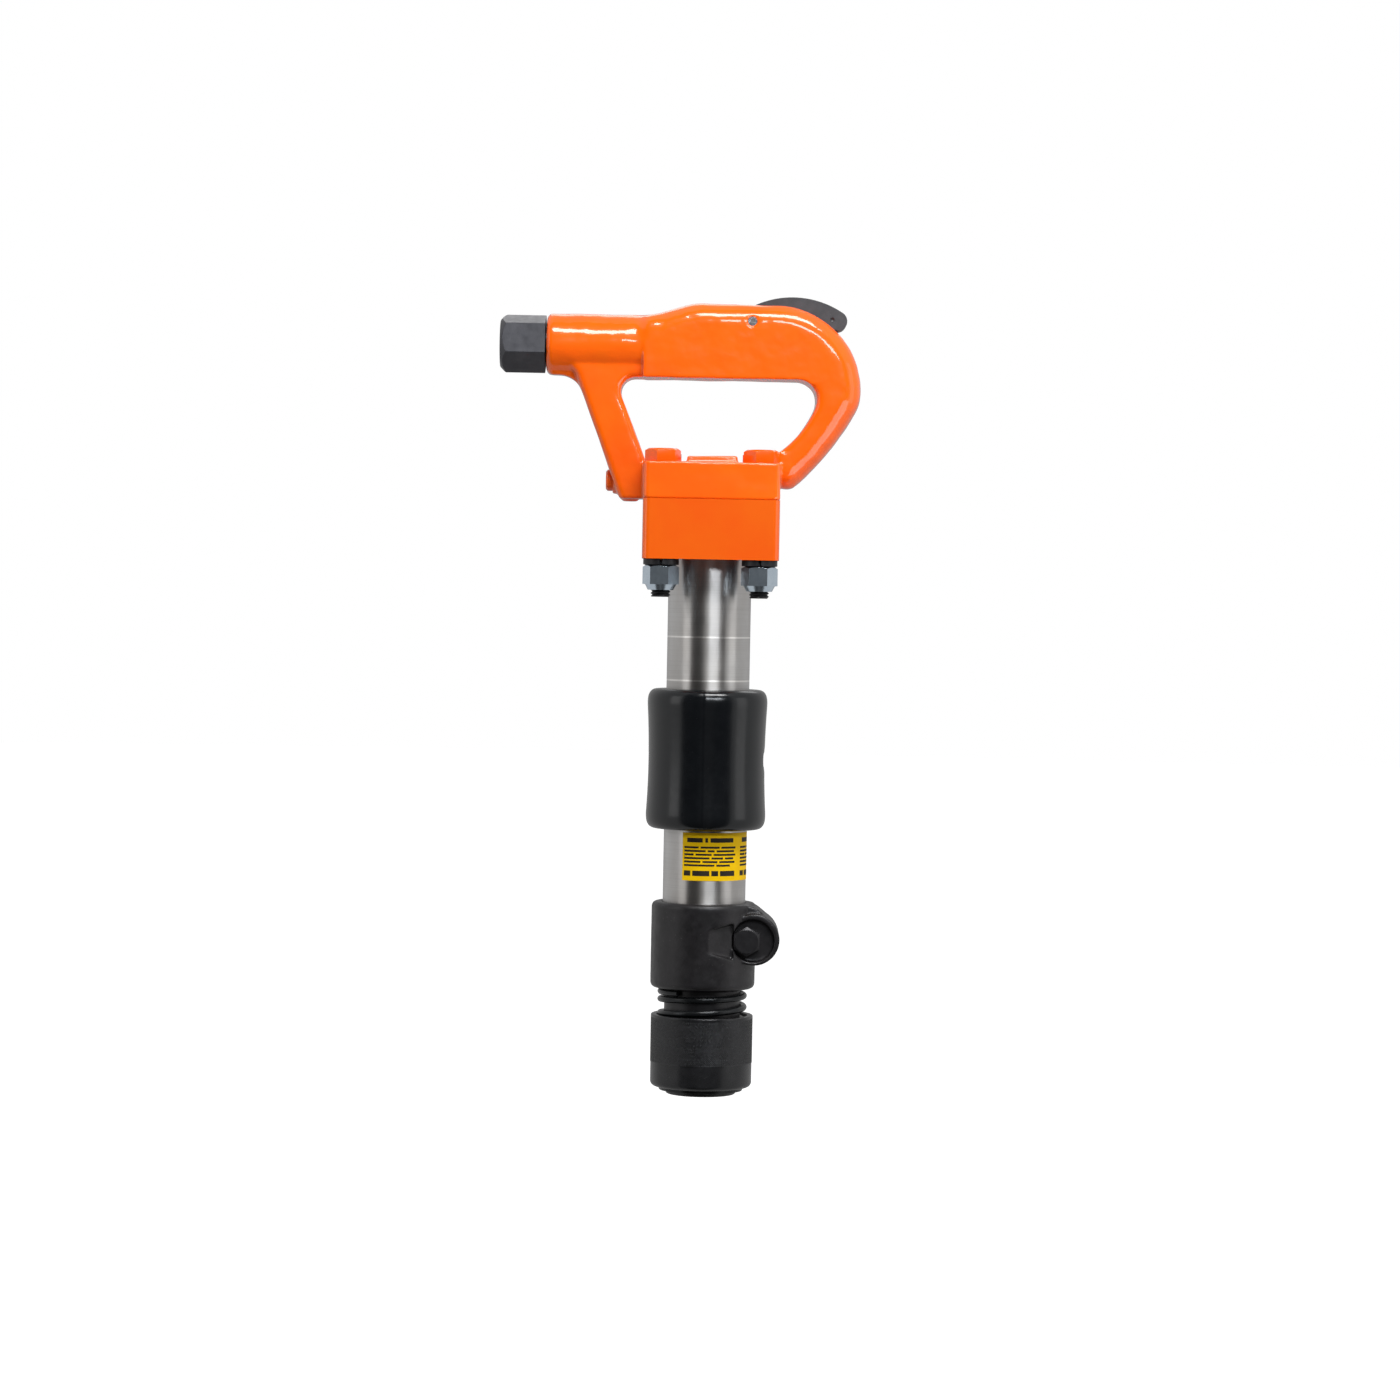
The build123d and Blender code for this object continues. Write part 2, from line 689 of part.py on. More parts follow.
valve_head_top_z = seat_bottom_z - valve_seat_gap
with BuildPart() as throttle_valve:
    bar((valve_x, 0, valve_head_top_z - valve_head_height), (valve_x, 0, valve_head_top_z),
        valve_head_r)
    bar((valve_x, 0, valve_head_top_z - 1), (valve_x, 0, lever_pad_z - stem_tip_gap - 0.1), stem_r)
    fillet(throttle_valve.faces().sort_by(Axis.Z)[-1].edges(), stem_tip_round)
save(throttle_valve.part, "throttle_valve")

throttle_spring = coil(
    throttle_wire_r,
    throttle_spring_r,
    valve_chamber_floor_z + throttle_spring_gap,
    valve_head_top_z - valve_head_height - throttle_spring_gap,
    throttle_spring_turns,
    valve_x,
)
save(throttle_spring, "throttle_spring")

# ---- valve box, shuttle valve and dowel ----
with BuildPart() as valve_box_lower:
    bar((0, 0, valve_pocket_z), (0, 0, valve_split_z), valve_box_r)
    bar((0, 0, shuttle_floor_z), (0, 0, valve_split_z + 1), shuttle_room_r, Mode.SUBTRACT)
    bar((0, 0, valve_pocket_z - 1), (0, 0, valve_split_z), shuttle_bore_r, Mode.SUBTRACT)
    bar((dowel_radius, 0, valve_split_z - dowel_half_length), (dowel_radius, 0, valve_split_z + 1),
        dowel_r, Mode.SUBTRACT)
    with PolarLocations(long_port_radius, 2, start_angle=90):
        Cylinder(long_port_r, 3 * valve_box_top_z, mode=Mode.SUBTRACT)
save(valve_box_lower.part, "valve_box_lower")

with BuildPart() as valve_box_upper:
    bar((0, 0, valve_split_z), (0, 0, valve_box_top_z), valve_box_r)
    bar((0, 0, valve_split_z - 1), (0, 0, shuttle_floor_z + shuttle_height + shuttle_travel),
        shuttle_room_r, Mode.SUBTRACT)
    with Locations((0, 0, valve_box_top_z)):
        with PolarLocations(feed_hole_radius, feed_hole_count):
            Cylinder(feed_hole_r, 2 * valve_box_spigot + 14, mode=Mode.SUBTRACT)
    bar((dowel_radius, 0, valve_split_z - 1), (dowel_radius, 0, valve_split_z + dowel_half_length),
        dowel_r, Mode.SUBTRACT)
    with Locations((0, 0, valve_split_z + 2.5)):
        with PolarLocations(long_port_radius, 2, start_angle=90):
            Cylinder(long_port_r, 5.0, mode=Mode.SUBTRACT)
save(valve_box_upper.part, "valve_box_upper")

with BuildPart() as valve_box_dowel:
    bar((dowel_radius, 0, valve_split_z - dowel_half_length),
        (dowel_radius, 0, valve_split_z + dowel_half_length), dowel_r)
save(valve_box_dowel.part, "valve_box_dowel")

with BuildPart() as shuttle_valve:
    bar((0, 0, shuttle_floor_z), (0, 0, shuttle_floor_z + shuttle_height), shuttle_r)
    bar((0, 0, shuttle_floor_z - 1), (0, 0, shuttle_floor_z + shuttle_height + 1), shuttle_bore_r,
        Mode.SUBTRACT)
    with BuildSketch(Plane.XZ):
        with Locations((shuttle_r, shuttle_floor_z + shuttle_height / 2)):
            Rectangle(2 * shuttle_groove_depth, shuttle_groove_width)
    revolve(axis=Axis.Z, mode=Mode.SUBTRACT)
save(shuttle_valve.part, "shuttle_valve")

# ---- barrel with its flange ----
with BuildPart() as barrel:
    bar((0, 0, barrel_bottom_z), (0, 0, flange_bottom_z + 1), barrel_r)
    with BuildSketch(Plane.XY.offset(flange_bottom_z)):
        RectangleRounded(2 * flange_half, 2 * flange_half, flange_corner_r)
    extrude(amount=flange_height)
    bar((0, 0, valve_pocket_z), (0, 0, flange_top_z + 1), valve_box_r, Mode.SUBTRACT)
    bar((0, 0, chamber_bottom_z), (0, 0, valve_pocket_z + 1), piston_bore_r, Mode.SUBTRACT)
    bar((0, 0, barrel_bottom_z - 1), (0, 0, chamber_bottom_z + 1), bushing_r, Mode.SUBTRACT)
    bar((0, 0, barrel_bottom_z - 1), (0, 0, barrel_bottom_z + bushing_flange_height),
        bushing_flange_r, Mode.SUBTRACT)
    with Locations((0, 0, flange_bottom_z - 1)):
        with GridLocations(bolt_spacing, bolt_spacing, 2, 2):
            Cylinder(bolt_hole_r, flange_height + 2, align=BASE, mode=Mode.SUBTRACT)
    for side in (-1, 1):
        port_y = side * long_port_radius
        bar((0, port_y, long_port_foot_z), (0, port_y, valve_pocket_z + 1), long_port_r,
            Mode.SUBTRACT)
        bar((0, side * (piston_bore_r - 1), long_port_foot_z + 1), (0, port_y, long_port_foot_z + 1),
            long_port_r, Mode.SUBTRACT)
    bar((piston_bore_r - 1, 0, exhaust_z), (barrel_r + 1, 0, exhaust_z), exhaust_port_r,
        Mode.SUBTRACT)
    bar((clamp_bolt_x, -barrel_r, clamp_bolt_z), (clamp_bolt_x, barrel_r, clamp_bolt_z),
        clamp_bolt_hole_r, Mode.SUBTRACT)
    for drop in scribe_drops:
        with BuildSketch(Plane.XZ):
            with Locations((barrel_r, flange_bottom_z - drop)):
                Rectangle(2 * scribe_depth, scribe_width)
        revolve(axis=Axis.Z, mode=Mode.SUBTRACT)
save(barrel.part, "barrel")

# ---- bolts, lock washers and nuts, four of each ----
bolt_head = hex_prism(bolt_head_flats, bolt_head_height, bolt_head_turn)
with BuildPart() as flange_bolts:
    with Locations((0, 0, bolt_end_z)):
        with GridLocations(bolt_spacing, bolt_spacing, 2, 2):
            Cylinder(bolt_r, block_top_z - bolt_end_z + 1, align=BASE)
    chamfer(flange_bolts.faces().group_by(Axis.Z)[0].edges(), thread_chamfer)
    with Locations((0, 0, block_top_z)):
        with GridLocations(bolt_spacing, bolt_spacing, 2, 2):
            add(bolt_head)
save(flange_bolts.part, "flange_bolts")

with BuildPart() as flange_washers:
    with Locations((0, 0, washer_bottom_z)):
        with GridLocations(bolt_spacing, bolt_spacing, 2, 2):
            Cylinder(washer_r, washer_thickness, align=BASE)
            Cylinder(bolt_hole_r, washer_thickness, align=BASE, mode=Mode.SUBTRACT)
        slit_places = [
            (side_x * bolt_spacing / 2, side_y * bolt_spacing / 2 - washer_r * 0.8)
            for side_x in (-1, 1)
            for side_y in (-1, 1)
        ]
        with Locations(*slit_places):
            Box(washer_slit, washer_r, 3 * washer_thickness, mode=Mode.SUBTRACT)
save(flange_washers.part, "flange_lock_washers")

nut_body = hex_prism(bolt_head_flats, nut_height, nut_turn)
with BuildPart() as flange_nuts:
    with Locations((0, 0, nut_bottom_z + nut_nose_height)):
        with GridLocations(bolt_spacing, bolt_spacing, 2, 2):
            add(nut_body)
    with Locations((0, 0, nut_bottom_z)):
        with GridLocations(bolt_spacing, bolt_spacing, 2, 2):
            Cone(bolt_head_flats / 2 - nut_nose_inset, bolt_head_flats / 2 - 0.1, nut_nose_height,
                 align=BASE)
            Cylinder(bolt_r, 3 * nut_height, mode=Mode.SUBTRACT)
save(flange_nuts.part, "flange_nuts")

# ---- piston and shank bushing ----
piston_r = piston_bore_r - piston_clearance
piston_bottom_z = chamber_bottom_z + piston_rest_gap
with BuildPart() as piston:
    bar((0, 0, piston_bottom_z), (0, 0, piston_bottom_z + piston_length), piston_r)
    chamfer(piston.edges(), piston_chamfer)
    for height in (0.4, 0.6):
        with BuildSketch(Plane.XZ):
            with Locations((piston_r, piston_bottom_z + height * piston_length)):
                Rectangle(2 * piston_groove_depth, piston_groove_width)
        revolve(axis=Axis.Z, mode=Mode.SUBTRACT)
save(piston.part, "piston")

with BuildPart() as shank_bushing:
    bar((0, 0, barrel_bottom_z), (0, 0, bushing_top_z), bushing_r)
    bar((0, 0, barrel_bottom_z), (0, 0, barrel_bottom_z + bushing_flange_height), bushing_flange_r)
    bar((0, 0, barrel_bottom_z - 1), (0, 0, bushing_top_z + 1), shank_r, Mode.SUBTRACT)
save(shank_bushing.part, "shank_bushing")

# ---- rubber grip and label on the barrel ----
with BuildPart() as barrel_grip:
    middle_z = (rubber_bottom_z + rubber_top_z) / 2
    with BuildSketch(Plane.XZ):
        with BuildLine():
            lower_end = Line((barrel_r, rubber_bottom_z), (rubber_end_r, rubber_bottom_z))
            waist = ThreePointArc(
                (rubber_r, rubber_bottom_z + rubber_corner),
                (rubber_r - rubber_waist_depth, middle_z),
                (rubber_r, rubber_top_z - rubber_corner),
            )
            Spline(lower_end @ 1, waist @ 0, tangents=[(1, 0), waist % 0])
            upper_end = Line((rubber_end_r, rubber_top_z), (barrel_r, rubber_top_z))
            Spline(waist @ 1, upper_end @ 0, tangents=[waist % 1, (-1, 0)])
            Line(upper_end @ 1, lower_end @ 0)
        make_face()
    revolve(axis=Axis.Z)
    bar((barrel_r - 2, 0, exhaust_z), (rubber_r + 3, 0, exhaust_z),
        exhaust_port_r + exhaust_hole_gap, Mode.SUBTRACT)
save(barrel_grip.part, "barrel_grip")

label_start = math.radians(label_start_deg)
label_plane = Plane(
    (0, 0, 0),
    x_dir=(math.cos(label_start), math.sin(label_start), 0),
    z_dir=(math.sin(label_start), -math.cos(label_start), 0),
)
with BuildPart() as warning_label:
    with BuildSketch(label_plane):
        with Locations((barrel_r, label_bottom_z)):
            Rectangle(label_thickness, label_height, align=(Align.MIN, Align.MIN))
    revolve(axis=Axis.Z, revolution_arc=label_arc_deg)
save(warning_label.part, "warning_label")

# ---- run-out of the clamp's spotface, a shallow wedge that widens towards the lug ----
ramp_end_x = spotface_wall_x + 0.5
ramp_start_y = math.sqrt(clamp_r**2 - ramp_start_x**2)
ramp_end_y = math.sqrt(clamp_r**2 - ramp_end_x**2) - ramp_depth
with BuildPart() as ramp:
    with BuildSketch(Plane.XZ):
        with BuildLine():
            Polyline(
                (ramp_start_x, clamp_bolt_z - ramp_start_half_z),
                (ramp_start_x, clamp_bolt_z + ramp_start_half_z),
                (ramp_end_x, clamp_bolt_z + ramp_end_half_z),
                (ramp_end_x, clamp_bolt_z - ramp_end_half_z),
                close=True,
            )
        make_face()
    extrude(amount=clamp_r + 2)
    with BuildSketch(Plane.XY.offset(clamp_bottom_z)):
        with BuildLine():
            Polyline(
                (ramp_start_x, -ramp_start_y),
                (ramp_end_x, -ramp_end_y),
                (ramp_end_x, -clamp_r - 2),
                (ramp_start_x, -clamp_r - 2),
                close=True,
            )
        make_face()
    extrude(amount=clamp_height, mode=Mode.INTERSECT)

# ---- retainer body: clamp, lug and neck in one piece ----
with BuildPart() as retainer_body:
    bar((0, 0, clamp_bottom_z), (0, 0, clamp_top_z), clamp_r)
    fillet(retainer_body.edges().filter_by(GeomType.CIRCLE), clamp_edge_round)
    bar((lug_x, -lug_half_length, lug_z), (lug_x, lug_half_length, lug_z), lug_r)
    # web that blends the lug up into the clamp's top
    with BuildSketch(Plane.XZ):
        with Locations((lug_x, lug_z)):
            Circle(lug_r)
        with Locations((lug_x - web_shift, lug_z + web_rise)):
            Circle(web_r)
        make_hull()
    extrude(amount=lug_half_length - web_shift, both=True)
    bar((0, 0, neck_shoulder_z), (0, 0, clamp_bottom_z + clamp_edge_round + 2), neck_r)
    bar((0, 0, 0), (0, 0, neck_shoulder_z + 1), nose_r)
    chamfer(retainer_body.faces().sort_by(Axis.Z)[0].edges(), nose_chamfer)
    bar((0, 0, barrel_bottom_z), (0, 0, clamp_top_z + 1), barrel_r, Mode.SUBTRACT)
    bar((0, 0, -1), (0, 0, barrel_bottom_z + 1), nose_bore_r, Mode.SUBTRACT)
    bar((0, 0, ball_z - ball_relief_half_z), (0, 0, ball_z + ball_relief_half_z),
        nose_bore_r + ball_relief, Mode.SUBTRACT)
    with BuildSketch(Plane.XZ):
        with Locations((snap_groove_r, snap_ring_z)):
            Rectangle(neck_r, snap_ring_thickness, align=(Align.MIN, Align.MIN))
    revolve(axis=Axis.Z, mode=Mode.SUBTRACT)
    for side in (-1, 1):
        with BuildSketch(Plane.XZ.offset(side * spotface_half)):
            with Locations((lug_x - spotface_shift, lug_z - spotface_drop)):
                Circle(spotface_r)
            with Locations((spotface_wall_x, lug_z)):
                Rectangle(2 * clamp_r, 2 * clamp_height, align=(Align.MAX, Align.CENTER),
                          mode=Mode.SUBTRACT)
        extrude(amount=side * 20.0, mode=Mode.SUBTRACT)
    add(ramp.part, mode=Mode.SUBTRACT)
    add(mirror(ramp.part, about=Plane.XZ, mode=Mode.PRIVATE), mode=Mode.SUBTRACT)
    bar((clamp_bolt_x, -lug_half_length - 1, clamp_bolt_z),
        (clamp_bolt_x, lug_half_length + 1, clamp_bolt_z), clamp_bolt_hole_r, Mode.SUBTRACT)
    for index in range(ball_count):
        angle = math.radians(90 + 360 * index / ball_count)
        way = Vector(math.cos(angle), math.sin(angle), 0)
        centre = Vector(0, 0, ball_z)
        step_r = nose_bore_r + ball_relief + ball_seat_depth
        bar(tuple(centre + way * (nose_bore_r - 2)), tuple(centre + way * (neck_r + 2)),
            ball_seat_r, Mode.SUBTRACT)
        bar(tuple(centre + way * step_r), tuple(centre + way * (neck_r + 2)),
            ball_r + ball_clearance, Mode.SUBTRACT)
save(retainer_body.part, "retainer_body")

# ---- cross bolt of the clamp ----
clamp_head = hex_prism(clamp_bolt_flats, clamp_bolt_head_height)
clamp_nut_face_y = spotface_half + clamp_washer_thickness
with BuildPart() as retainer_bolt:
    with Locations(Plane((clamp_bolt_x, -spotface_half, clamp_bolt_z), z_dir=(0, -1, 0)).location):
        add(clamp_head)
    bar((clamp_bolt_x, -spotface_half - 1, clamp_bolt_z),
        (clamp_bolt_x, clamp_nut_face_y + clamp_nut_height + clamp_bolt_tail, clamp_bolt_z),
        clamp_bolt_r)
save(retainer_bolt.part, "retainer_bolt")

with BuildPart() as retainer_washer:
    bar((clamp_bolt_x, spotface_half, clamp_bolt_z), (clamp_bolt_x, clamp_nut_face_y, clamp_bolt_z),
        clamp_washer_r)
    bar((clamp_bolt_x, spotface_half, clamp_bolt_z), (clamp_bolt_x, clamp_nut_face_y, clamp_bolt_z),
        clamp_bolt_r + clamp_washer_clearance, Mode.SUBTRACT)
save(retainer_washer.part, "retainer_washer")

with BuildPart() as retainer_nut:
    with Locations(Plane((clamp_bolt_x, clamp_nut_face_y, clamp_bolt_z), z_dir=(0, 1, 0)).location):
        add(hex_prism(clamp_bolt_flats, clamp_nut_height))
    bar((clamp_bolt_x, 0, clamp_bolt_z),
        (clamp_bolt_x, clamp_nut_face_y + clamp_nut_height + 1, clamp_bolt_z), clamp_bolt_r,
        Mode.SUBTRACT)
save(retainer_nut.part, "retainer_nut")

# ---- balls that hold the chisel's collar ----
for index in range(ball_count):
    angle = math.radians(90 + 360 * index / ball_count)
    with BuildPart() as ball:
        with Locations((ball_rest_radius * math.cos(angle), ball_rest_radius * math.sin(angle),
                        ball_z)):
            Sphere(ball_r)
    save(ball.part, f"retaining_ball_{index + 1}")

# ---- sliding sleeve: its inner cone lets the balls out as it is pulled up ----
ball_slope = ball_travel / sleeve_travel
ball_touch_r = (ball_r + cone_clearance) / math.cos(math.atan(ball_slope))
cone_at_ball_r = ball_rest_radius + ball_touch_r
cone_top_z = ball_z + (cone_at_ball_r - sleeve_bore_r) / ball_slope
cone_bottom_z = ball_z - sleeve_travel - cone_overrun
recess_r = cone_at_ball_r + (ball_z - cone_bottom_z) * ball_slope
washer_recess_r = stop_washer_r + sleeve_clearance
lip_z = neck_shoulder_z + sleeve_rest_gap
with BuildPart() as retainer_sleeve:
    with BuildSketch(Plane.XZ):
        with BuildLine():
            Polyline(
                (washer_recess_r, sleeve_bottom_z),
                (sleeve_smooth_r, sleeve_bottom_z),
                (sleeve_smooth_r, sleeve_band_top_z),
                (sleeve_r, sleeve_band_top_z),
                (sleeve_r, sleeve_top_z),
                (sleeve_cavity_r, sleeve_top_z),
                (sleeve_cavity_r, sleeve_land_top_z),
                (sleeve_bore_r, sleeve_land_top_z),
                (sleeve_bore_r, cone_top_z),
                (recess_r, cone_bottom_z),
                (recess_r, sleeve_lip_top_z),
                (sleeve_bore_r, sleeve_lip_top_z),
                (sleeve_bore_r, lip_z),
                (washer_recess_r, lip_z),
                close=True,
            )
        make_face()
    revolve(axis=Axis.Z)
    rim = retainer_sleeve.edges().filter_by(GeomType.CIRCLE).group_by(Axis.Z)[0].sort_by(
        lambda edge: edge.radius)[-1]
    fillet(rim, sleeve_edge_round)
    top_rim = retainer_sleeve.edges().filter_by(GeomType.CIRCLE).group_by(Axis.Z)[-1].sort_by(
        lambda edge: edge.radius)[-1]
    chamfer(top_rim, sleeve_top_chamfer)
save(retainer_sleeve.part, "retainer_sleeve")

retainer_spring = coil(
    spring_wire_r,
    spring_outer_r - spring_wire_r,
    sleeve_land_top_z + spring_end_gap,
    clamp_bottom_z - spring_end_gap,
    spring_turns,
)
save(retainer_spring, "retainer_spring")

# ---- snap ring and stop washer under the sleeve ----
with BuildPart() as snap_ring:
    bar((0, 0, snap_ring_z), (0, 0, snap_ring_z + snap_ring_thickness), snap_ring_r)
    bar((0, 0, snap_ring_z), (0, 0, snap_ring_z + snap_ring_thickness), snap_groove_r,
        Mode.SUBTRACT)
    with Locations((0, snap_ring_r, snap_ring_z)):
        Box(snap_ring_gap, snap_ring_r, 4 * snap_ring_thickness, mode=Mode.SUBTRACT)
save(snap_ring.part, "snap_ring")

with BuildPart() as sleeve_stop_washer:
    bar((0, 0, stop_washer_z), (0, 0, neck_shoulder_z), stop_washer_r)
    bar((0, 0, stop_washer_z), (0, 0, neck_shoulder_z), nose_r, Mode.SUBTRACT)
save(sleeve_stop_washer.part, "sleeve_stop_washer")
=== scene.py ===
import math
import json

import bmesh
import bpy
from mathutils import Matrix, Vector, noise


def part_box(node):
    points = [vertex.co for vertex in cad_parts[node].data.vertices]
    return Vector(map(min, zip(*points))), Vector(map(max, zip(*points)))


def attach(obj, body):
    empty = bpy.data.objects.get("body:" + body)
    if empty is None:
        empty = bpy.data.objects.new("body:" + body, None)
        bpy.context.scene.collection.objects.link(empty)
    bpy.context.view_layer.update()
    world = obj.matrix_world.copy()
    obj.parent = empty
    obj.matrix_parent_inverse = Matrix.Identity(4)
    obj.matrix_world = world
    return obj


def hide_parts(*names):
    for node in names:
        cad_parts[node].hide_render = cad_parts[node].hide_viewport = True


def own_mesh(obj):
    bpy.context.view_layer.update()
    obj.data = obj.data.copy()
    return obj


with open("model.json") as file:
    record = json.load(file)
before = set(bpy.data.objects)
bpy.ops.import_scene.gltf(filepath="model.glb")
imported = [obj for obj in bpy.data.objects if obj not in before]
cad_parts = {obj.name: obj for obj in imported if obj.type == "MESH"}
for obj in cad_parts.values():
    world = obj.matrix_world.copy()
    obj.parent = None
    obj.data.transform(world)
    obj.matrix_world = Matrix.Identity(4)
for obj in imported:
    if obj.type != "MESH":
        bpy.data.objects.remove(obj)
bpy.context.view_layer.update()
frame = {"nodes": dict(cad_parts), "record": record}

MM = 0.001
scene = bpy.context.scene

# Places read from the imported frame, in metres.
_, flange_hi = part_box("barrel")
sleeve_lo, sleeve_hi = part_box("retainer_sleeve")
spring_lo, spring_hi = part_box("retainer_spring")
label_lo, label_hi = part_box("warning_label")
bolts_lo, bolts_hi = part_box("flange_bolts")
nuts_lo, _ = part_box("flange_nuts")
_, washers_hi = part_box("flange_lock_washers")
body_lo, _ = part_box("retainer_body")
handle_lo, handle_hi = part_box("handle")

BARREL_R = 23.0 * MM
BOLT_R = 5.5 * MM
BOLT_AT = 27.0 * MM
FLANGE_BOTTOM = washers_hi.z
SCRIBE_DROPS = (42.7 * MM, 66.7 * MM)


# ---------------------------------------------------------------- meshes

def as_object(name, mesh_or_bm, materials, body, nodes=(), sharp=35, choose=None,
              flat=False):
    """Makes a piece from a mesh, shades it smooth up to an angle and ties it to its CAD body.

    choose picks a material's place in the list from the centre of each face, and flat lets
    large faces keep their own normals beside small bevels."""
    if isinstance(mesh_or_bm, bmesh.types.BMesh):
        mesh = bpy.data.meshes.new(name)
        mesh_or_bm.to_mesh(mesh)
        mesh_or_bm.free()
    else:
        mesh = mesh_or_bm
        mesh.name = name
    indices = [face.material_index for face in mesh.polygons]
    if choose:
        indices = [choose(face.center) for face in mesh.polygons]
    mesh.materials.clear()
    for material in materials:
        mesh.materials.append(material)
    mesh.polygons.foreach_set("material_index", indices)
    mesh.shade_smooth()
    mesh.set_sharp_from_angle(angle=math.radians(sharp))
    if flat:
        mesh = with_modifiers(mesh, ("WEIGHTED_NORMAL", {"mode": "FACE_AREA", "weight": 100,
                                                         "keep_sharp": True}))
        mesh.name = name
    piece = bpy.data.objects.new(name, mesh)
    scene.collection.objects.link(piece)
    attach(piece, body)
    if nodes:
        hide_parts(*nodes)
    return piece


def with_modifiers(mesh, *modifiers):
    """The mesh after a list of (type, settings) modifiers."""
    carrier = bpy.data.objects.new("carrier", mesh)
    scene.collection.objects.link(carrier)
    for kind, settings in modifiers:
        modifier = carrier.modifiers.new(kind.lower(), kind)
        for key, value in settings.items():
            setattr(modifier, key, value)
    graph = bpy.context.evaluated_depsgraph_get()
    made = bpy.data.meshes.new_from_object(carrier.evaluated_get(graph))
    bpy.data.objects.remove(carrier)
    return made


def node_mesh(node):
    """A welded copy of a CAD node's mesh."""
    bm = bmesh.new()
    bm.from_mesh(frame["nodes"][node].data)
    bmesh.ops.remove_doubles(bm, verts=bm.verts, dist=0.002 * MM)
    mesh = bpy.data.meshes.new(node + "_copy")
    bm.to_mesh(mesh)
    bm.free()
    return mesh


def softened(node, width, segments=3, angle=28):
    """The CAD node with its sharp edges rounded by a small bevel."""
    bm = bmesh.new()
    bm.from_mesh(node_mesh(node))
    bmesh.ops.dissolve_limit(
        bm, angle_limit=math.radians(1.0), verts=bm.verts, edges=bm.edges,
        delimit={"SHARP"},
    )
    mesh = bpy.data.meshes.new(node + "_flat")
    bm.to_mesh(mesh)
    bm.free()
    return with_modifiers(
        mesh,
        ("BEVEL", {"width": width, "segments": segments, "limit_method": "ANGLE",
                   "angle_limit": math.radians(angle), "use_clamp_overlap": True,
                   "harden_normals": False}),
    )


def cast(node, voxel, passes, factor=0.5):
    """The CAD node as a casting or forging: remeshed, with every edge and corner blended."""
    return with_modifiers(
        node_mesh(node),
        ("REMESH", {"mode": "VOXEL", "voxel_size": voxel, "adaptivity": 0.0}),
        ("SMOOTH", {"factor": factor, "iterations": passes}),
    )


def blended(mesh, spots, passes):
    """Smooths the mesh again around (centre, radius) spots, to run one shape into the next."""
    bm = bmesh.new()
    bm.from_mesh(mesh)
    near = [
        v for v in bm.verts
        if any(((v.co - Vector(centre)) * Vector(stretch)).length < radius
               for centre, stretch, radius in spots)
    ]
    for _ in range(passes):
        bmesh.ops.smooth_vert(bm, verts=near, factor=0.5, use_axis_x=True, use_axis_y=True,
                              use_axis_z=True)
    bm.to_mesh(mesh)
    bm.free()
    return mesh


def roughen(mesh, layers, keep=None):
    """Moves each point along its normal by layers of (size, height) noise, less where keep says."""
    normals = [v.normal.copy() for v in mesh.vertices]
    for v, normal in zip(mesh.vertices, normals):
        share = 1.0 if keep is None else keep(v.co)
        if share <= 0:
            continue
        push = sum(height * noise.noise(v.co / size) for size, height in layers)
        v.co += normal * push * share
    mesh.update()
    return mesh


def grid_surface(bm, rows, closed_across=False, material=0):
    """Quads over a list of rows of points."""
    made = [[bm.verts.new(point) for point in row] for row in rows]
    across = len(made[0]) if closed_across else len(made[0]) - 1
    for lower, upper in zip(made, made[1:]):
        for j in range(across):
            k = (j + 1) % len(made[0])
            face = bm.faces.new((lower[j], lower[k], upper[k], upper[j]))
            face.material_index = material
    return made


def lathe(profile, segments, radius_change):
    """A surface of revolution about Z. The profile is a list of (radius, z)."""
    bm = bmesh.new()
    rows = []
    for radius, z in profile:
        row = []
        for j in range(segments):
            angle = 2 * math.pi * j / segments
            r = radius + radius_change(angle, radius, z)
            row.append((r * math.cos(angle), r * math.sin(angle), z))
        rows.append(row)
    grid_surface(bm, rows, closed_across=True)
    bmesh.ops.recalc_face_normals(bm, faces=bm.faces)
    return bm


def rounded(points, steps=5):
    """A profile of (x, y, corner radius) points, with each corner turned into an arc."""
    made = []
    for i, (x, y, radius) in enumerate(points):
        if not radius or i in (0, len(points) - 1):
            made.append((x, y))
            continue
        here = Vector((x, y))
        before = (Vector(points[i - 1][:2]) - here).normalized()
        after = (Vector(points[i + 1][:2]) - here).normalized()
        half = before.angle(after) / 2
        reach = radius / math.tan(half)
        centre = here + (before + after).normalized() * (radius / math.sin(half))
        start, end = here + before * reach - centre, here + after * reach - centre
        sweep = start.angle_signed(end)
        for s in range(steps + 1):
            turn = -sweep * s / steps
            made.append(tuple(centre + Matrix.Rotation(turn, 2) @ start))
    return made


def finer(profile, longest):
    """The profile with points added until no step is longer than the given length."""
    made = [profile[0]]
    for a, b in zip(profile, profile[1:]):
        steps = max(1, math.ceil(math.dist(a, b) / longest))
        made += [
            (a[0] + (b[0] - a[0]) * s / steps, a[1] + (b[1] - a[1]) * s / steps)
            for s in range(1, steps + 1)
        ]
    return made


def tube_along(points, radius, sides):
    """A round wire through points that lie on a smooth line, closed at both ends."""
    bm = bmesh.new()
    rows = []
    for i, point in enumerate(points):
        ahead = Vector(points[min(i + 1, len(points) - 1)])
        behind = Vector(points[max(i - 1, 0)])
        way = (ahead - behind).normalized()
        side = way.cross(Vector((0, 0, 1))).normalized()
        up = side.cross(way)
        rows.append(
            [
                Vector(point)
                + radius * (side * math.cos(2 * math.pi * j / sides)
                            + up * math.sin(2 * math.pi * j / sides))
                for j in range(sides)
            ]
        )
    made = grid_surface(bm, rows, closed_across=True)
    for ring in (made[0], made[-1]):
        bm.faces.new(ring)
    bmesh.ops.recalc_face_normals(bm, faces=bm.faces)
    return bm


# ---------------------------------------------------------------- materials

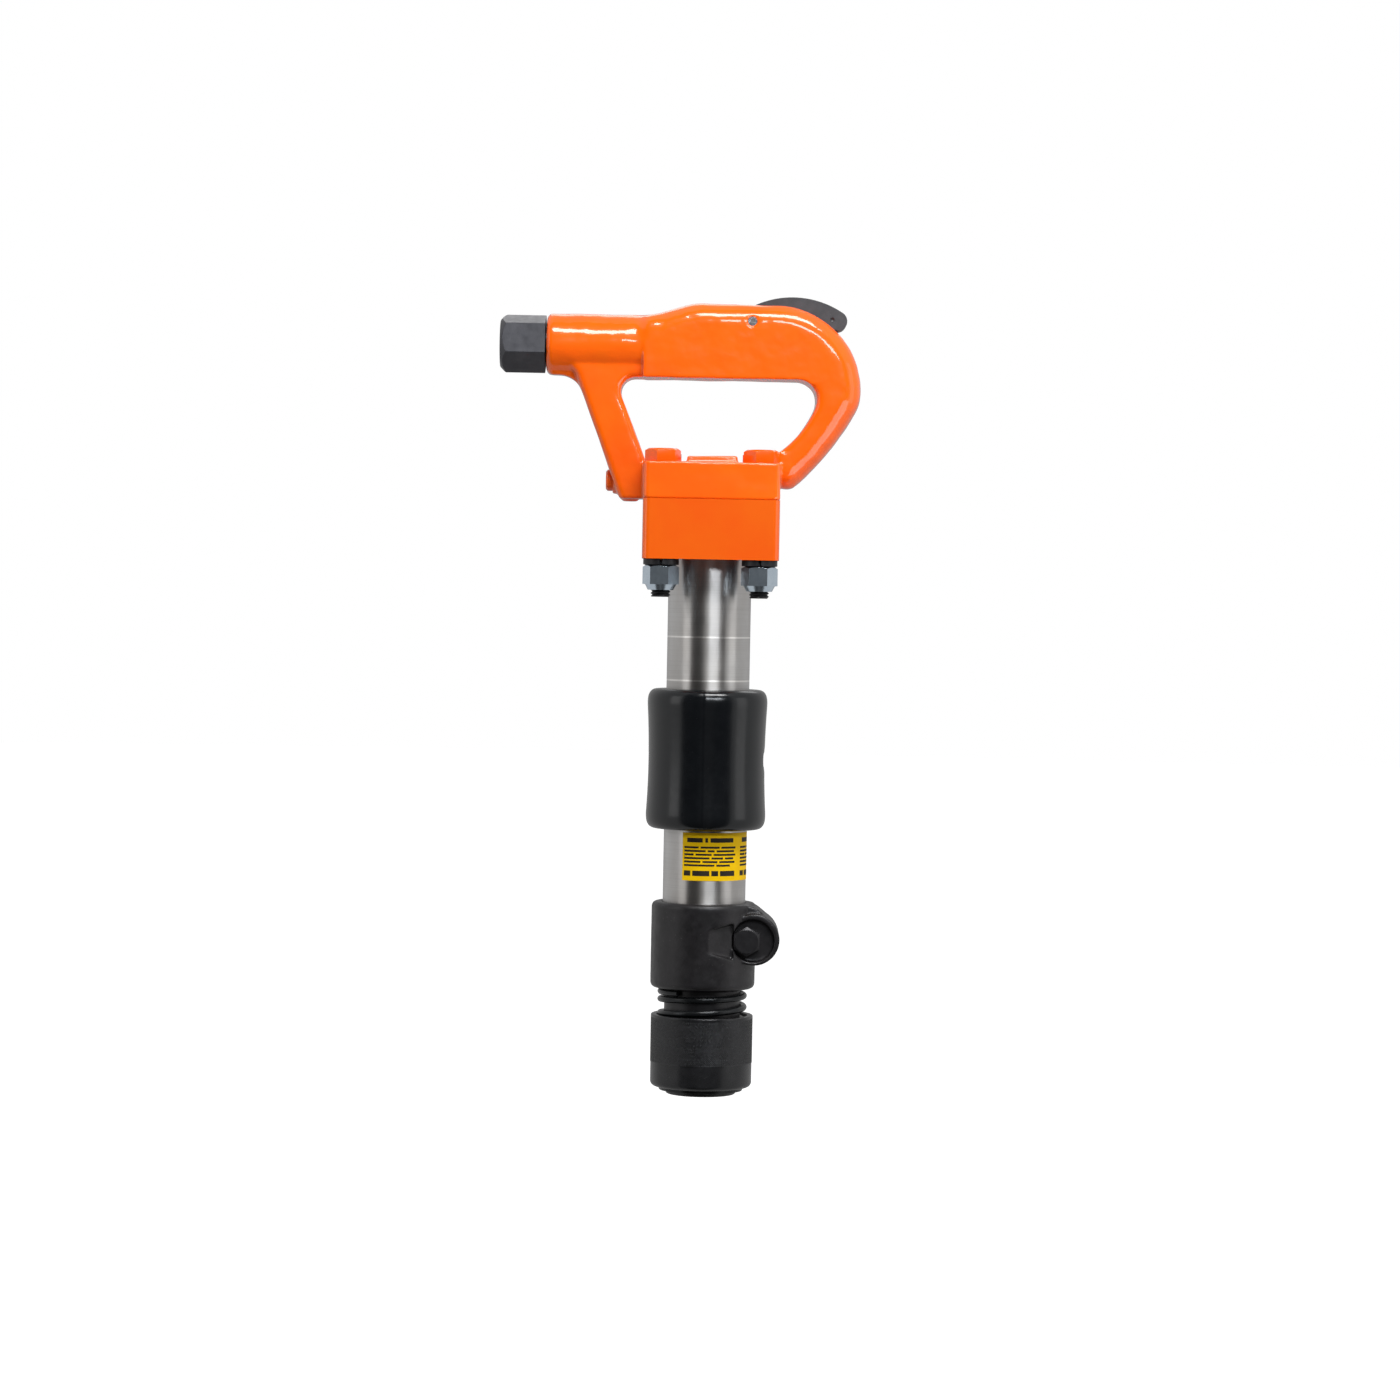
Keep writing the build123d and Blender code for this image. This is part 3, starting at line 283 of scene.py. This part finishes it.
class Paint:
    """A Principled material in object space, with short calls for the textures it needs."""

    def __init__(self, name, color, roughness, metallic=0.0, **sockets):
        self.material = bpy.data.materials.new(name)
        self.material.use_nodes = True
        self.tree = self.material.node_tree
        self.shader = self.tree.nodes["Principled BSDF"]
        self.shader.inputs["Base Color"].default_value = (*color, 1)
        self.shader.inputs["Roughness"].default_value = roughness
        self.shader.inputs["Metallic"].default_value = metallic
        for key, value in sockets.items():
            self.shader.inputs[key.replace("_", " ")].default_value = value
        self.place = self.tree.nodes.new("ShaderNodeTexCoord").outputs["Object"]
        self.height = None

    def link(self, source, target):
        self.tree.links.new(source, target)

    def stretched(self, scale):
        mapping = self.tree.nodes.new("ShaderNodeMapping")
        mapping.inputs["Scale"].default_value = scale
        self.link(self.place, mapping.inputs["Vector"])
        return mapping.outputs["Vector"]

    def noise(self, size, detail=3.0, roughness=0.5, stretch=None, distortion=0.0):
        """Noise whose lumps are about size metres across."""
        node = self.tree.nodes.new("ShaderNodeTexNoise")
        node.inputs["Scale"].default_value = 1.0 / size
        node.inputs["Detail"].default_value = detail
        node.inputs["Roughness"].default_value = roughness
        node.inputs["Distortion"].default_value = distortion
        self.link(self.stretched(stretch) if stretch else self.place, node.inputs["Vector"])
        return node.outputs["Fac"]

    def cells(self, size):
        """The distance to the nearest of a scatter of points about size metres apart."""
        node = self.tree.nodes.new("ShaderNodeTexVoronoi")
        node.inputs["Scale"].default_value = 1.0 / size
        self.link(self.place, node.inputs["Vector"])
        return node.outputs["Distance"]

    def spread(self, source, low, high, to_low=0.0, to_high=1.0):
        node = self.tree.nodes.new("ShaderNodeMapRange")
        node.inputs["From Min"].default_value = low
        node.inputs["From Max"].default_value = high
        node.inputs["To Min"].default_value = to_low
        node.inputs["To Max"].default_value = to_high
        self.link(source, node.inputs["Value"])
        return node.outputs["Result"]

    def maths(self, operation, a, b):
        node = self.tree.nodes.new("ShaderNodeMath")
        node.operation = operation
        for socket, value in zip(node.inputs, (a, b)):
            if isinstance(value, (int, float)):
                socket.default_value = value
            else:
                self.link(value, socket)
        return node.outputs["Value"]

    def colours(self, amount, first, second):
        """Mixes two colours, or sockets, by amount."""
        node = self.tree.nodes.new("ShaderNodeMix")
        node.data_type = "RGBA"
        self.link(amount, node.inputs[0])
        for socket, value in ((node.inputs[6], first), (node.inputs[7], second)):
            if isinstance(value, tuple):
                socket.default_value = (*value, 1)
            else:
                self.link(value, socket)
        return node.outputs[2]

    def set(self, name, source):
        self.link(source, self.shader.inputs[name])

    def bump(self, source, distance):
        """Adds a bump of the given height, in metres, on top of those before it."""
        node = self.tree.nodes.new("ShaderNodeBump")
        node.inputs["Strength"].default_value = 1.0
        node.inputs["Distance"].default_value = distance
        self.link(source, node.inputs["Height"])
        if self.height:
            self.link(self.height, node.inputs["Normal"])
        self.height = node.outputs["Normal"]
        self.set("Normal", self.height)


def enamel(name="orange_enamel", lumps=1.0):
    """Thick gloss orange enamel over a cast skin, with pits and thin spots."""
    p = Paint(name, (1.0, 0.13, 0.0005), 0.26, Specular_IOR_Level=0.2, Coat_Weight=0.9,
              Coat_Roughness=0.035)
    tone = p.noise(28 * MM, 4, 0.55)
    base = p.colours(p.spread(tone, 0.35, 0.65), (1.0, 0.118, 0.0004), (1.0, 0.138, 0.0006))
    pits = p.spread(p.cells(16 * MM), 0.012, 0.03)
    base = p.colours(pits, (0.78, 0.09, 0.0005), base)
    p.set("Base Color", base)
    p.bump(p.noise(11 * MM, 2, 0.4), 0.16 * MM * lumps)
    p.bump(p.noise(3.4 * MM, 3, 0.5), 0.07 * MM * lumps)
    p.bump(p.noise(1.2 * MM, 2), 0.02 * MM * lumps)
    p.bump(pits, 0.12 * MM)
    return p.material


def ground_steel(name="ground_steel"):
    """Cylindrically ground steel: fine turns round the axis, oil smears, and two scribed grooves
    painted as pale bands, a painted highlight where their edges catch the light.
    """
    p = Paint(name, (0.50, 0.49, 0.475), 0.34, 1.0, Anisotropic=0.9,
              Anisotropic_Rotation=0.25)
    tangent = p.tree.nodes.new("ShaderNodeTangent")
    tangent.direction_type = "RADIAL"
    tangent.axis = "Z"
    p.set("Tangent", tangent.outputs["Tangent"])
    smear = p.noise(30 * MM, 5, 0.6, stretch=(1, 1, 0.35))
    tint = p.colours(p.spread(smear, 0.35, 0.65), (0.47, 0.45, 0.43), (0.56, 0.555, 0.55))
    turns = p.noise(0.5 * MM, 2, 0.5, stretch=(0.01, 0.01, 1))
    tint = p.colours(p.spread(turns, 0.45, 0.75, 0.0, 0.25), tint, (0.33, 0.32, 0.31))
    split = p.tree.nodes.new("ShaderNodeSeparateXYZ")
    p.link(p.place, split.inputs[0])
    # Painted highlight: each scribed groove is drawn as a pale band in the base colour, standing in
    # for the light its edge catches.
    for drop in SCRIBE_DROPS:
        away = p.maths("SUBTRACT", split.outputs["Z"], FLANGE_BOTTOM - drop)
        line = p.spread(p.maths("ABSOLUTE", away, 0), 0.25 * MM, 0.65 * MM, 0.8, 0.0)
        tint = p.colours(line, tint, (0.92, 0.90, 0.87))
    p.set("Base Color", tint)
    p.set("Roughness", p.spread(p.noise(11 * MM, 4), 0.3, 0.7, 0.30, 0.38))
    p.bump(turns, 0.006 * MM)
    return p.material


def plated(name, color, darker, rough_low, rough_high, grain=1.2 * MM, bump=0.01 * MM):
    """A metal whose tone and gloss wander a little."""
    p = Paint(name, color, rough_low, 1.0)
    p.set("Base Color", p.colours(p.spread(p.noise(5 * MM, 5), 0.35, 0.65), darker, color))
    p.set("Roughness", p.spread(p.noise(grain * 2, 4), 0.3, 0.7, rough_low, rough_high))
    p.bump(p.noise(grain, 3), bump)
    return p.material


def black_finish(name, color, lighter, rough_low, rough_high, grain, bump, metallic=0.0,
                 dust=0.0, lump=0.0):
    """Black oxide, phosphate or rubber: near black, with grain, wear and dust specks."""
    p = Paint(name, color, rough_low, metallic)
    tone = p.colours(p.spread(p.noise(9 * MM, 5, 0.6), 0.35, 0.7), color, lighter)
    if dust:
        specks = p.spread(p.cells(2.4 * MM), 0.10, 0.05, 0.0, dust)
        patches = p.spread(p.noise(12 * MM, 2), 0.48, 0.6)
        tone = p.colours(p.maths("MULTIPLY", specks, patches), tone, (0.25, 0.24, 0.23))
    p.set("Base Color", tone)
    p.set("Roughness", p.spread(p.noise(4 * MM, 4), 0.3, 0.7, rough_low, rough_high))
    if lump:
        p.bump(p.noise(4.5 * MM, 3), lump)
    p.bump(p.noise(grain, 3, 0.6), bump)
    return p.material


def vinyl(name, color, darker):
    """Printed label stock under a clear film."""
    p = Paint(name, color, 0.5, Specular_IOR_Level=0.1)
    p.set("Base Color", p.colours(p.spread(p.noise(6 * MM, 4), 0.35, 0.7), darker, color))
    p.bump(p.noise(0.5 * MM, 2), 0.004 * MM)
    return p.material


ENAMEL = enamel()
FLAT_ENAMEL = enamel("orange_enamel_machined", 0.25)
STEEL = ground_steel()
ZINC = plated("zinc_plate", (0.60, 0.69, 0.77), (0.56, 0.65, 0.74), 0.21, 0.25,
              bump=0.0004 * MM)
LEVER = black_finish("lever_black", (0.055, 0.052, 0.055), (0.085, 0.08, 0.084), 0.32, 0.46,
                     0.5 * MM, 0.02 * MM, 0.3, 0.25)
INLET = black_finish("inlet_black", (0.05, 0.05, 0.058), (0.075, 0.075, 0.085), 0.3, 0.42,
                     0.45 * MM, 0.012 * MM, 0.4, 0.3)
PHOSPHATE = black_finish("black_phosphate", (0.012, 0.011, 0.012), (0.021, 0.019, 0.021), 0.32,
                         0.46, 0.6 * MM, 0.03 * MM, 0.2, 0.35, 0.08 * MM)
SLEEVE_BLACK = black_finish("sleeve_phosphate", (0.012, 0.012, 0.013), (0.020, 0.020, 0.022),
                            0.22, 0.32, 0.4 * MM, 0.010 * MM, 0.2, 0.2)
SPRING_BLACK = black_finish("spring_black", (0.012, 0.013, 0.014), (0.02, 0.022, 0.024), 0.18,
                            0.3, 0.5 * MM, 0.006 * MM, 0.5)
OXIDE = black_finish("black_oxide", (0.022, 0.021, 0.023), (0.035, 0.034, 0.037), 0.3, 0.45,
                     0.5 * MM, 0.02 * MM, 0.5, 0.3)
RUBBER = black_finish("grip_rubber", (0.003, 0.0038, 0.005), (0.005, 0.006, 0.0075), 0.17, 0.23,
                      0.35 * MM, 0.003 * MM, 0.0, 0.06, 0.008 * MM)
SEAL = black_finish("seal_rubber", (0.012, 0.012, 0.012), (0.02, 0.02, 0.02), 0.45, 0.6,
                    0.4 * MM, 0.01 * MM)
YELLOW = vinyl("label_yellow", (1.0, 0.62, 0.002), (0.94, 0.56, 0.002))
PRINT = vinyl("label_print", (0.02, 0.018, 0.015), (0.035, 0.03, 0.02))
BRIGHT = plated("bright_steel", (0.62, 0.62, 0.64), (0.48, 0.48, 0.5), 0.14, 0.28)
BRASS = plated("brass", (0.78, 0.56, 0.25), (0.62, 0.43, 0.17), 0.2, 0.36)

by_slot = {
    "orange_enamel": ENAMEL, "black_steel": INLET, "brass_mesh": BRASS, "pin_steel": BRIGHT,
    "lever_steel": LEVER, "brass_seat": BRASS, "seal_rubber": SEAL, "valve_steel": BRIGHT,
    "spring_steel": BRIGHT, "bolt_steel": OXIDE, "black_washer": OXIDE, "zinc_plate": ZINC,
    "ground_steel": STEEL, "piston_steel": BRIGHT, "grip_rubber": RUBBER, "label_vinyl": YELLOW,
    "bushing_steel": BRIGHT, "black_phosphate": PHOSPHATE, "black_oxide": OXIDE,
    "black_spring": SPRING_BLACK, "sleeve_phosphate": SLEEVE_BLACK, "ball_steel": BRIGHT,
}
slot_of = {s["node"]: s["material_slot"] for s in frame["record"]["subparts"]}
for node, piece in frame["nodes"].items():
    piece.data.materials.clear()
    piece.data.materials.append(by_slot[slot_of[node]])


# ---------------------------------------------------------------- pieces

def make_handle():
    """The casting: blended at the grip's step and the right strut, uneven off machined faces."""
    mesh = cast("handle", 0.75 * MM, 9)
    base = flange_hi.z
    step_x, step_z, step_y = -39 * MM, base + 98 * MM, 13 * MM
    blended(mesh, [((step_x, side * step_y, step_z), (1.0, 1.0, 1.0), 13 * MM)
                   for side in (-1, 1)], 60)
    strut_root = (62 * MM, 0, base + 38 * MM)
    blended(mesh, [(strut_root, (0.8, 1.0, 0.75), 27 * MM)], 50)

    def away_from_joint(co):
        """No unevenness on the machined parting face and in the bolt pockets."""
        return min(1.0, max(0.0, (co.z - base - 2 * MM) / (6 * MM)))

    roughen(mesh, ((22 * MM, 0.35 * MM), (9 * MM, 0.14 * MM), (4 * MM, 0.06 * MM)),
            away_from_joint)
    for v in mesh.vertices:
        v.co.y = min(max(v.co.y, handle_lo.y), handle_hi.y)
    as_object("handle_casting", mesh, [ENAMEL], "root", ["handle"], 60)


def make_barrel():
    """Bare steel below the flange's underside and enamel above it."""
    mesh = softened("barrel", 0.9 * MM, 4, 40)
    as_object("barrel_and_flange", mesh, [STEEL, FLAT_ENAMEL], "root", ["barrel"],
              32, lambda at: int(at.z > FLANGE_BOTTOM - 0.05 * MM), True)


def make_barrel_grip():
    """The moulded grip with the seam of its mould down the front."""
    mesh = cast("barrel_grip", 0.8 * MM, 6)
    seam_x, seam_reach, seam_height = -1.0 * MM, 1.6 * MM, 0.22 * MM
    for v in mesh.vertices:
        away = abs(v.co.x - seam_x)
        outside = Vector((v.co.x, v.co.y)).length > BARREL_R + 2 * MM
        if v.co.y < 0 and away < seam_reach and outside:
            v.co.y -= seam_height * (1 - away / seam_reach) ** 2
    as_object("rubber_grip", mesh, [RUBBER], "root", ["barrel_grip"], 60)


def make_label():
    """A bent yellow sheet with rows of plain bars where a real label has its text."""
    radius, thick = BARREL_R, 0.2 * MM
    start, arc = math.radians(-122), math.radians(172)
    low, high = label_lo.z, label_hi.z
    bm = bmesh.new()

    def patch(a0, a1, z0, z1, r0, r1, steps, material):
        """A closed bent plate between two angles, two heights and two radii."""
        corners = ((r0, z0), (r1, z0), (r1, z1), (r0, z1))
        rows = []
        for s in range(steps + 1):
            angle = a0 + (a1 - a0) * s / steps
            rows.append([(r * math.cos(angle), r * math.sin(angle), z) for r, z in corners])
        made = grid_surface(bm, rows, closed_across=True, material=material)
        for ring in (made[0], made[-1]):
            bm.faces.new(ring).material_index = material

    patch(start, start + arc, low, high, radius, radius + thick, 96, 0)
    bar_rows = (
        (0.80, 0.095, (0.05, 0.21, 0.235, 0.262, 0.287, 0.54)),
        (0.675, 0.042, (0.02, 0.17, 0.19, 0.38, 0.40, 0.57)),
        (0.600, 0.042, (0.02, 0.24, 0.26, 0.33, 0.35, 0.55)),
        (0.525, 0.042, (0.02, 0.12, 0.14, 0.30, 0.32, 0.57)),
        (0.450, 0.042, (0.02, 0.28, 0.30, 0.42, 0.44, 0.54)),
        (0.375, 0.042, (0.02, 0.19, 0.21, 0.36, 0.38, 0.56)),
        (0.300, 0.042, (0.02, 0.33, 0.35, 0.50)),
        (0.10, 0.11, (0.02, 0.09, 0.11, 0.28, 0.30, 0.37, 0.39, 0.56)),
    )
    top_r = radius + thick
    for level, size, edges in bar_rows:
        for a, b in zip(edges[::2], edges[1::2]):
            for repeat in range(2):
                shift = repeat * 0.5
                if b * 0.8 + shift > 0.97:
                    continue
                patch(start + arc * (a * 0.8 + shift), start + arc * (b * 0.8 + shift),
                      low + (high - low) * level, low + (high - low) * (level + size),
                      top_r - 0.02 * MM, top_r + 0.03 * MM, 10, 1)
    bmesh.ops.recalc_face_normals(bm, faces=bm.faces)
    as_object("label_sheet", bm, [YELLOW, PRINT], "root", ["warning_label"], 30)


def make_retainer_body():
    """The forged clamp, uneven above the machined neck."""
    mesh = cast("retainer_body", 0.6 * MM, 7)
    clamp_bottom = body_lo.z + 60 * MM
    roughen(mesh, ((9 * MM, 0.10 * MM), (3 * MM, 0.04 * MM)),
            lambda co: 1.0 if co.z > clamp_bottom else 0.0)
    as_object("retainer_clamp", mesh, [PHOSPHATE], "root", ["retainer_body"],
              60)


def make_sleeve():
    """The sleeve with a diamond knurl on its upper band."""
    low, high = sleeve_lo.z, sleeve_hi.z
    outer = sleeve_hi.x
    smooth_r = outer - 0.2 * MM
    band_low, band_high = low + 13.6 * MM, high - 1.3 * MM
    ridges, depth = 150, 0.22 * MM
    lead = 2 * math.pi * outer / ridges

    def knurl(angle, radius, z):
        if not band_low < z < band_high or radius < outer - 0.01 * MM:
            return 0.0
        fade = min(1.0, (z - band_low) / (0.6 * MM), (band_high - z) / (0.6 * MM))
        turn = angle * ridges / (2 * math.pi)
        climb = z / lead
        a = abs(2 * ((turn + climb) % 1.0) - 1)
        b = abs(2 * ((turn - climb) % 1.0) - 1)
        return -depth * fade * (1 - min(a, b) * 1.6 if min(a, b) < 0.62 else 0.0)

    neck_r, ring_r, washer_r = 21.45 * MM, 26.053 * MM, 24.35 * MM
    spring_r, spring_seat = 25.2 * MM, 32.0 * MM
    cone_top, cone_bottom, recess_bottom, ledge = 25.354 * MM, 12.8 * MM, 8.6 * MM, 5.9 * MM
    outside = rounded([
        (washer_r, low, 0), (smooth_r, low, 2.8 * MM), (smooth_r, band_low, 0),
        (outer, band_low, 0.1 * MM), (outer, high, 0.7 * MM), (spring_r, high, 0.4 * MM),
        (spring_r, spring_seat, 0.3 * MM), (neck_r, spring_seat, 0), (neck_r, cone_top, 0),
        (ring_r, cone_bottom, 0), (ring_r, recess_bottom, 0), (neck_r, recess_bottom, 0),
        (neck_r, ledge, 0), (washer_r, ledge, 0), (washer_r, low, 0),
    ], 6)
    fine = []
    for a, b in zip(outside, outside[1:]):
        step = 0.22 * MM if min(a[0], b[0]) > outer - 0.01 * MM else 8 * MM
        fine += finer([a, b], step)[:-1]
    fine.append(outside[-1])
    bm = lathe(fine, 900, knurl)
    bmesh.ops.remove_doubles(bm, verts=bm.verts, dist=0.001 * MM)
    as_object("knurled_sleeve", bm, [SLEEVE_BLACK], "sleeve", ["retainer_sleeve"],
              40)


def make_retainer_spring():
    """A compression spring with closed ends, standing between sleeve and clamp."""
    wire = 1.75 * MM
    mean = spring_hi.x - wire
    low, high = spring_lo.z + wire, spring_hi.z - wire
    turns, points_per_turn, start = 4.1, 72, math.radians(200)
    total = int(turns * points_per_turn)
    pitch_closed = 2 * wire * 1.03
    rise_open = (high - low - 2.0 * pitch_closed) / (turns - 2.0)
    points = []
    z = low
    for i in range(total + 1):
        turn = i / points_per_turn
        angle = 2 * math.pi * turn + start
        points.append((mean * math.cos(angle), mean * math.sin(angle), z))
        to_end = min(turn, turns - turn)
        share = min(1.0, max(0.0, (to_end - 0.85) / 0.3))
        z += (pitch_closed + (rise_open - pitch_closed) * share) / points_per_turn
    top = points[-1][2]
    points = [(x, y, low + (z - low) * (high - low) / (top - low)) for x, y, z in points]
    bm = tube_along(points, wire, 20)
    piece = as_object("retainer_coil", bm, [SPRING_BLACK], "root", ["retainer_spring"],
                      50)
    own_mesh(piece)


def make_throttle_spring():
    """The small spring under the throttle valve."""
    low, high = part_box("throttle_spring")
    wire = 0.45 * MM
    centre = (low + high) / 2
    mean = (high.x - low.x) / 2 - wire
    turns, points_per_turn = 4.5, 48
    total = int(points_per_turn * turns)
    points = [
        (centre.x + mean * math.cos(2 * math.pi * t / points_per_turn),
         mean * math.sin(2 * math.pi * t / points_per_turn),
         low.z + wire + (high.z - low.z - 2 * wire) * t / total)
        for t in range(total + 1)
    ]
    piece = as_object("throttle_coil", tube_along(points, wire, 10), [BRIGHT], "root",
                      ["throttle_spring"], 50)
    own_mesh(piece)


def make_bolts():
    """Painted heads, and threads that show under the nuts."""
    mesh = softened("flange_bolts", 0.35 * MM, 3)
    stub_top = nuts_lo.z + 2 * MM
    bm = bmesh.new()
    bm.from_mesh(mesh)
    bmesh.ops.bisect_plane(bm, geom=bm.verts[:] + bm.edges[:] + bm.faces[:], dist=1e-6,
                           plane_co=(0, 0, stub_top), plane_no=(0, 0, 1), clear_inner=True)
    bm.to_mesh(mesh)
    bm.free()
    as_object("bolts_with_painted_heads", mesh, [ENAMEL, OXIDE], "root", ["flange_bolts"],
              30, lambda at: int(at.z < bolts_hi.z - 8 * MM))
    pitch, depth, chamfer = 1.81 * MM, 0.95 * MM, 0.6 * MM
    low, high = bolts_lo.z, stub_top
    bm = bmesh.new()
    for side_x in (-1, 1):
        for side_y in (-1, 1):
            rows = []
            steps = int((high - low) / (0.12 * MM))
            for i in range(steps + 1):
                z = low + (high - low) * i / steps
                row = []
                for j in range(48):
                    turn = j / 48
                    phase = (z / pitch - turn) % 1.0
                    groove = depth * (1 - abs(2 * phase - 1))
                    r = BOLT_R - groove
                    if z - low < chamfer:
                        r = min(r, BOLT_R - chamfer + (z - low))
                    angle = 2 * math.pi * turn
                    row.append((side_x * BOLT_AT + r * math.cos(angle),
                                side_y * BOLT_AT + r * math.sin(angle), z))
                rows.append(row)
            made = grid_surface(bm, rows, closed_across=True)
            bm.faces.new(made[0])
            bm.faces.new(made[-1])
    bmesh.ops.recalc_face_normals(bm, faces=bm.faces)
    as_object("bolt_threads", bm, [OXIDE], "root", (), 60)


make_handle()
make_barrel()
make_barrel_grip()
make_label()
make_retainer_body()
make_sleeve()
make_retainer_spring()
make_throttle_spring()
make_bolts()

for name, node, width, material in (
    ("lock_nuts", "flange_nuts", 0.35 * MM, ZINC),
    ("split_washers", "flange_lock_washers", 0.3 * MM, OXIDE),
    ("hex_inlet", "inlet_bushing", 0.5 * MM, INLET),
    ("pocket_plug", "oil_plug", 0.5 * MM, ENAMEL),
    ("clamp_screw", "retainer_bolt", 0.4 * MM, OXIDE),
    ("clamp_screw_nut", "retainer_nut", 0.35 * MM, OXIDE),
    ("ring_clip", "snap_ring", 0.25 * MM, SPRING_BLACK),
    ("stop_washer", "sleeve_stop_washer", 0.2 * MM, OXIDE),
):
    as_object(name, softened(node, width), [material], "root", [node], 30,
              flat=True)
as_object("thumb_lever", softened("throttle_lever", 0.5 * MM), [LEVER], "lever",
          ["throttle_lever"], 30, flat=True)


# ---------------------------------------------------------------- camera, light and floor

def look(camera, place, target, roll_deg):
    """Points the camera and leans its picture, so that upright things lean to the right."""
    forward = (target - place).normalized()
    side = forward.cross(Vector((0, 0, 1))).normalized()
    up = side.cross(forward)
    lean = math.radians(roll_deg)
    tilted_up = up * math.cos(lean) - side * math.sin(lean)
    tilted_side = side * math.cos(lean) + up * math.sin(lean)
    turn = Matrix((tilted_side, tilted_up, -forward)).transposed()
    camera.matrix_world = Matrix.Translation(place) @ turn.to_4x4()


camera_data = bpy.data.cameras.new("camera")
camera_data.lens = 102.86
camera_data.sensor_width = 36.0
camera_data.clip_end = 50
camera_data.dof.use_dof = False
camera = bpy.data.objects.new("camera", camera_data)
scene.collection.objects.link(camera)
aim = Vector((-4.24 * MM, 0, 218.9 * MM))
look(camera, aim + Vector((0, -2.22, 0.0611)), aim, 1.07)
scene.camera = camera


def area_light(name, place, target, size_x, size_y, power, color=(1, 1, 1), only=()):
    """A soft box. With only, it is flagged off every piece but those named."""
    data = bpy.data.lights.new(name, "AREA")
    data.shape = "RECTANGLE"
    data.size, data.size_y = size_x, size_y
    data.energy = power
    data.color = color
    lamp = bpy.data.objects.new(name, data)
    lamp.location = place
    lamp.rotation_euler = (Vector(target) - Vector(place)).to_track_quat("-Z", "Y").to_euler()
    lamp.visible_camera = False
    scene.collection.objects.link(lamp)
    if only:
        lit = bpy.data.collections.new(name + "_lights")
        for piece_name in only:
            lit.objects.link(bpy.data.objects[piece_name])
        lamp.light_linking.receiver_collection = lit


middle = (0, 0, 0.25)
area_light("key_top_front", (0.30, -1.0, 1.75), middle, 1.15, 0.46, 31)
area_light("front_strip", (0.46, -1.75, 0.95), middle, 0.9, 0.26, 11, (0.90, 0.95, 1.0))
area_light("strut_kicker", (0.56, -0.63, 0.06), (0.06, 0, 0.36), 0.5, 0.5, 2.2,
           only=["handle_casting"])
area_light("fill_left", (-1.9, -0.9, 0.7), middle, 0.8, 1.2, 2.6)
area_light("fill_right", (1.9, -0.7, 0.5), middle, 0.8, 1.2, 2.2)
area_light("back_top", (0.3, 1.5, 1.6), middle, 1.6, 0.8, 6)


def make_world():
    """A pale room whose front is dark but for its middle, as bright metal would show it."""
    world = bpy.data.worlds.new("studio")
    scene.world = world
    world.use_nodes = True
    tree = world.node_tree
    tree.nodes.clear()
    new = tree.nodes.new
    place = new("ShaderNodeTexCoord").outputs["Generated"]
    split = new("ShaderNodeSeparateXYZ")
    tree.links.new(place, split.inputs[0])
    back = new("ShaderNodeMath")
    back.operation = "MULTIPLY"
    back.inputs[1].default_value = -1.0
    tree.links.new(split.outputs["Y"], back.inputs[0])
    turn = new("ShaderNodeMath")
    turn.operation = "ARCTAN2"
    tree.links.new(split.outputs["X"], turn.inputs[0])
    tree.links.new(back.outputs[0], turn.inputs[1])
    share = new("ShaderNodeMapRange")
    share.inputs["From Min"].default_value = -math.pi
    share.inputs["From Max"].default_value = math.pi
    tree.links.new(turn.outputs[0], share.inputs["Value"])
    ramp = new("ShaderNodeValToRGB")
    tree.links.new(share.outputs[0], ramp.inputs["Fac"])
    stops = (
        (-180, 0.34), (-130, 0.6), (-54, 0.6), (-49, 0.06), (-15, 0.05), (-9, 0.11), (9, 0.11),
        (15, 0.05), (46, 0.06), (51, 0.6),
        (130, 0.6), (180, 0.34),
    )
    elements = ramp.color_ramp.elements
    while len(elements) < len(stops):
        elements.new(0.5)
    for element, (degrees, value) in zip(elements, stops):
        element.position = (degrees + 180) / 360
        element.color = (value, value, value, 1)
    studio = new("ShaderNodeBackground")
    tree.links.new(ramp.outputs[0], studio.inputs["Color"])
    studio.inputs["Strength"].default_value = 1.0
    seen = new("ShaderNodeBackground")
    seen.inputs["Color"].default_value = (1, 1, 1, 1)
    seen.inputs["Strength"].default_value = 1.0
    path = new("ShaderNodeLightPath")
    mix = new("ShaderNodeMixShader")
    tree.links.new(path.outputs["Is Camera Ray"], mix.inputs[0])
    tree.links.new(studio.outputs[0], mix.inputs[1])
    tree.links.new(seen.outputs[0], mix.inputs[2])
    tree.links.new(mix.outputs[0], new("ShaderNodeOutputWorld").inputs[0])


make_world()

floor_paint = Paint("floor_white", (0.9, 0.9, 0.9), 0.8)
floor_paint.set("Base Color", floor_paint.colours(
    floor_paint.noise(0.4, 2), (0.76, 0.76, 0.76), (0.80, 0.80, 0.80)))
floor_paint.shader.inputs["Emission Color"].default_value = (1, 1, 1, 1)
floor_paint.shader.inputs["Emission Strength"].default_value = 0.75
floor_bm = bmesh.new()
bmesh.ops.create_circle(floor_bm, cap_ends=True, radius=12.0, segments=96)
floor_mesh = bpy.data.meshes.new("floor")
floor_bm.to_mesh(floor_mesh)
floor_bm.free()
floor_mesh.materials.append(floor_paint.material)
floor = bpy.data.objects.new("floor", floor_mesh)
floor.location.z = -0.30
floor.visible_diffuse = False
floor.visible_glossy = False
scene.collection.objects.link(floor)

scene.view_settings.view_transform = "Standard"
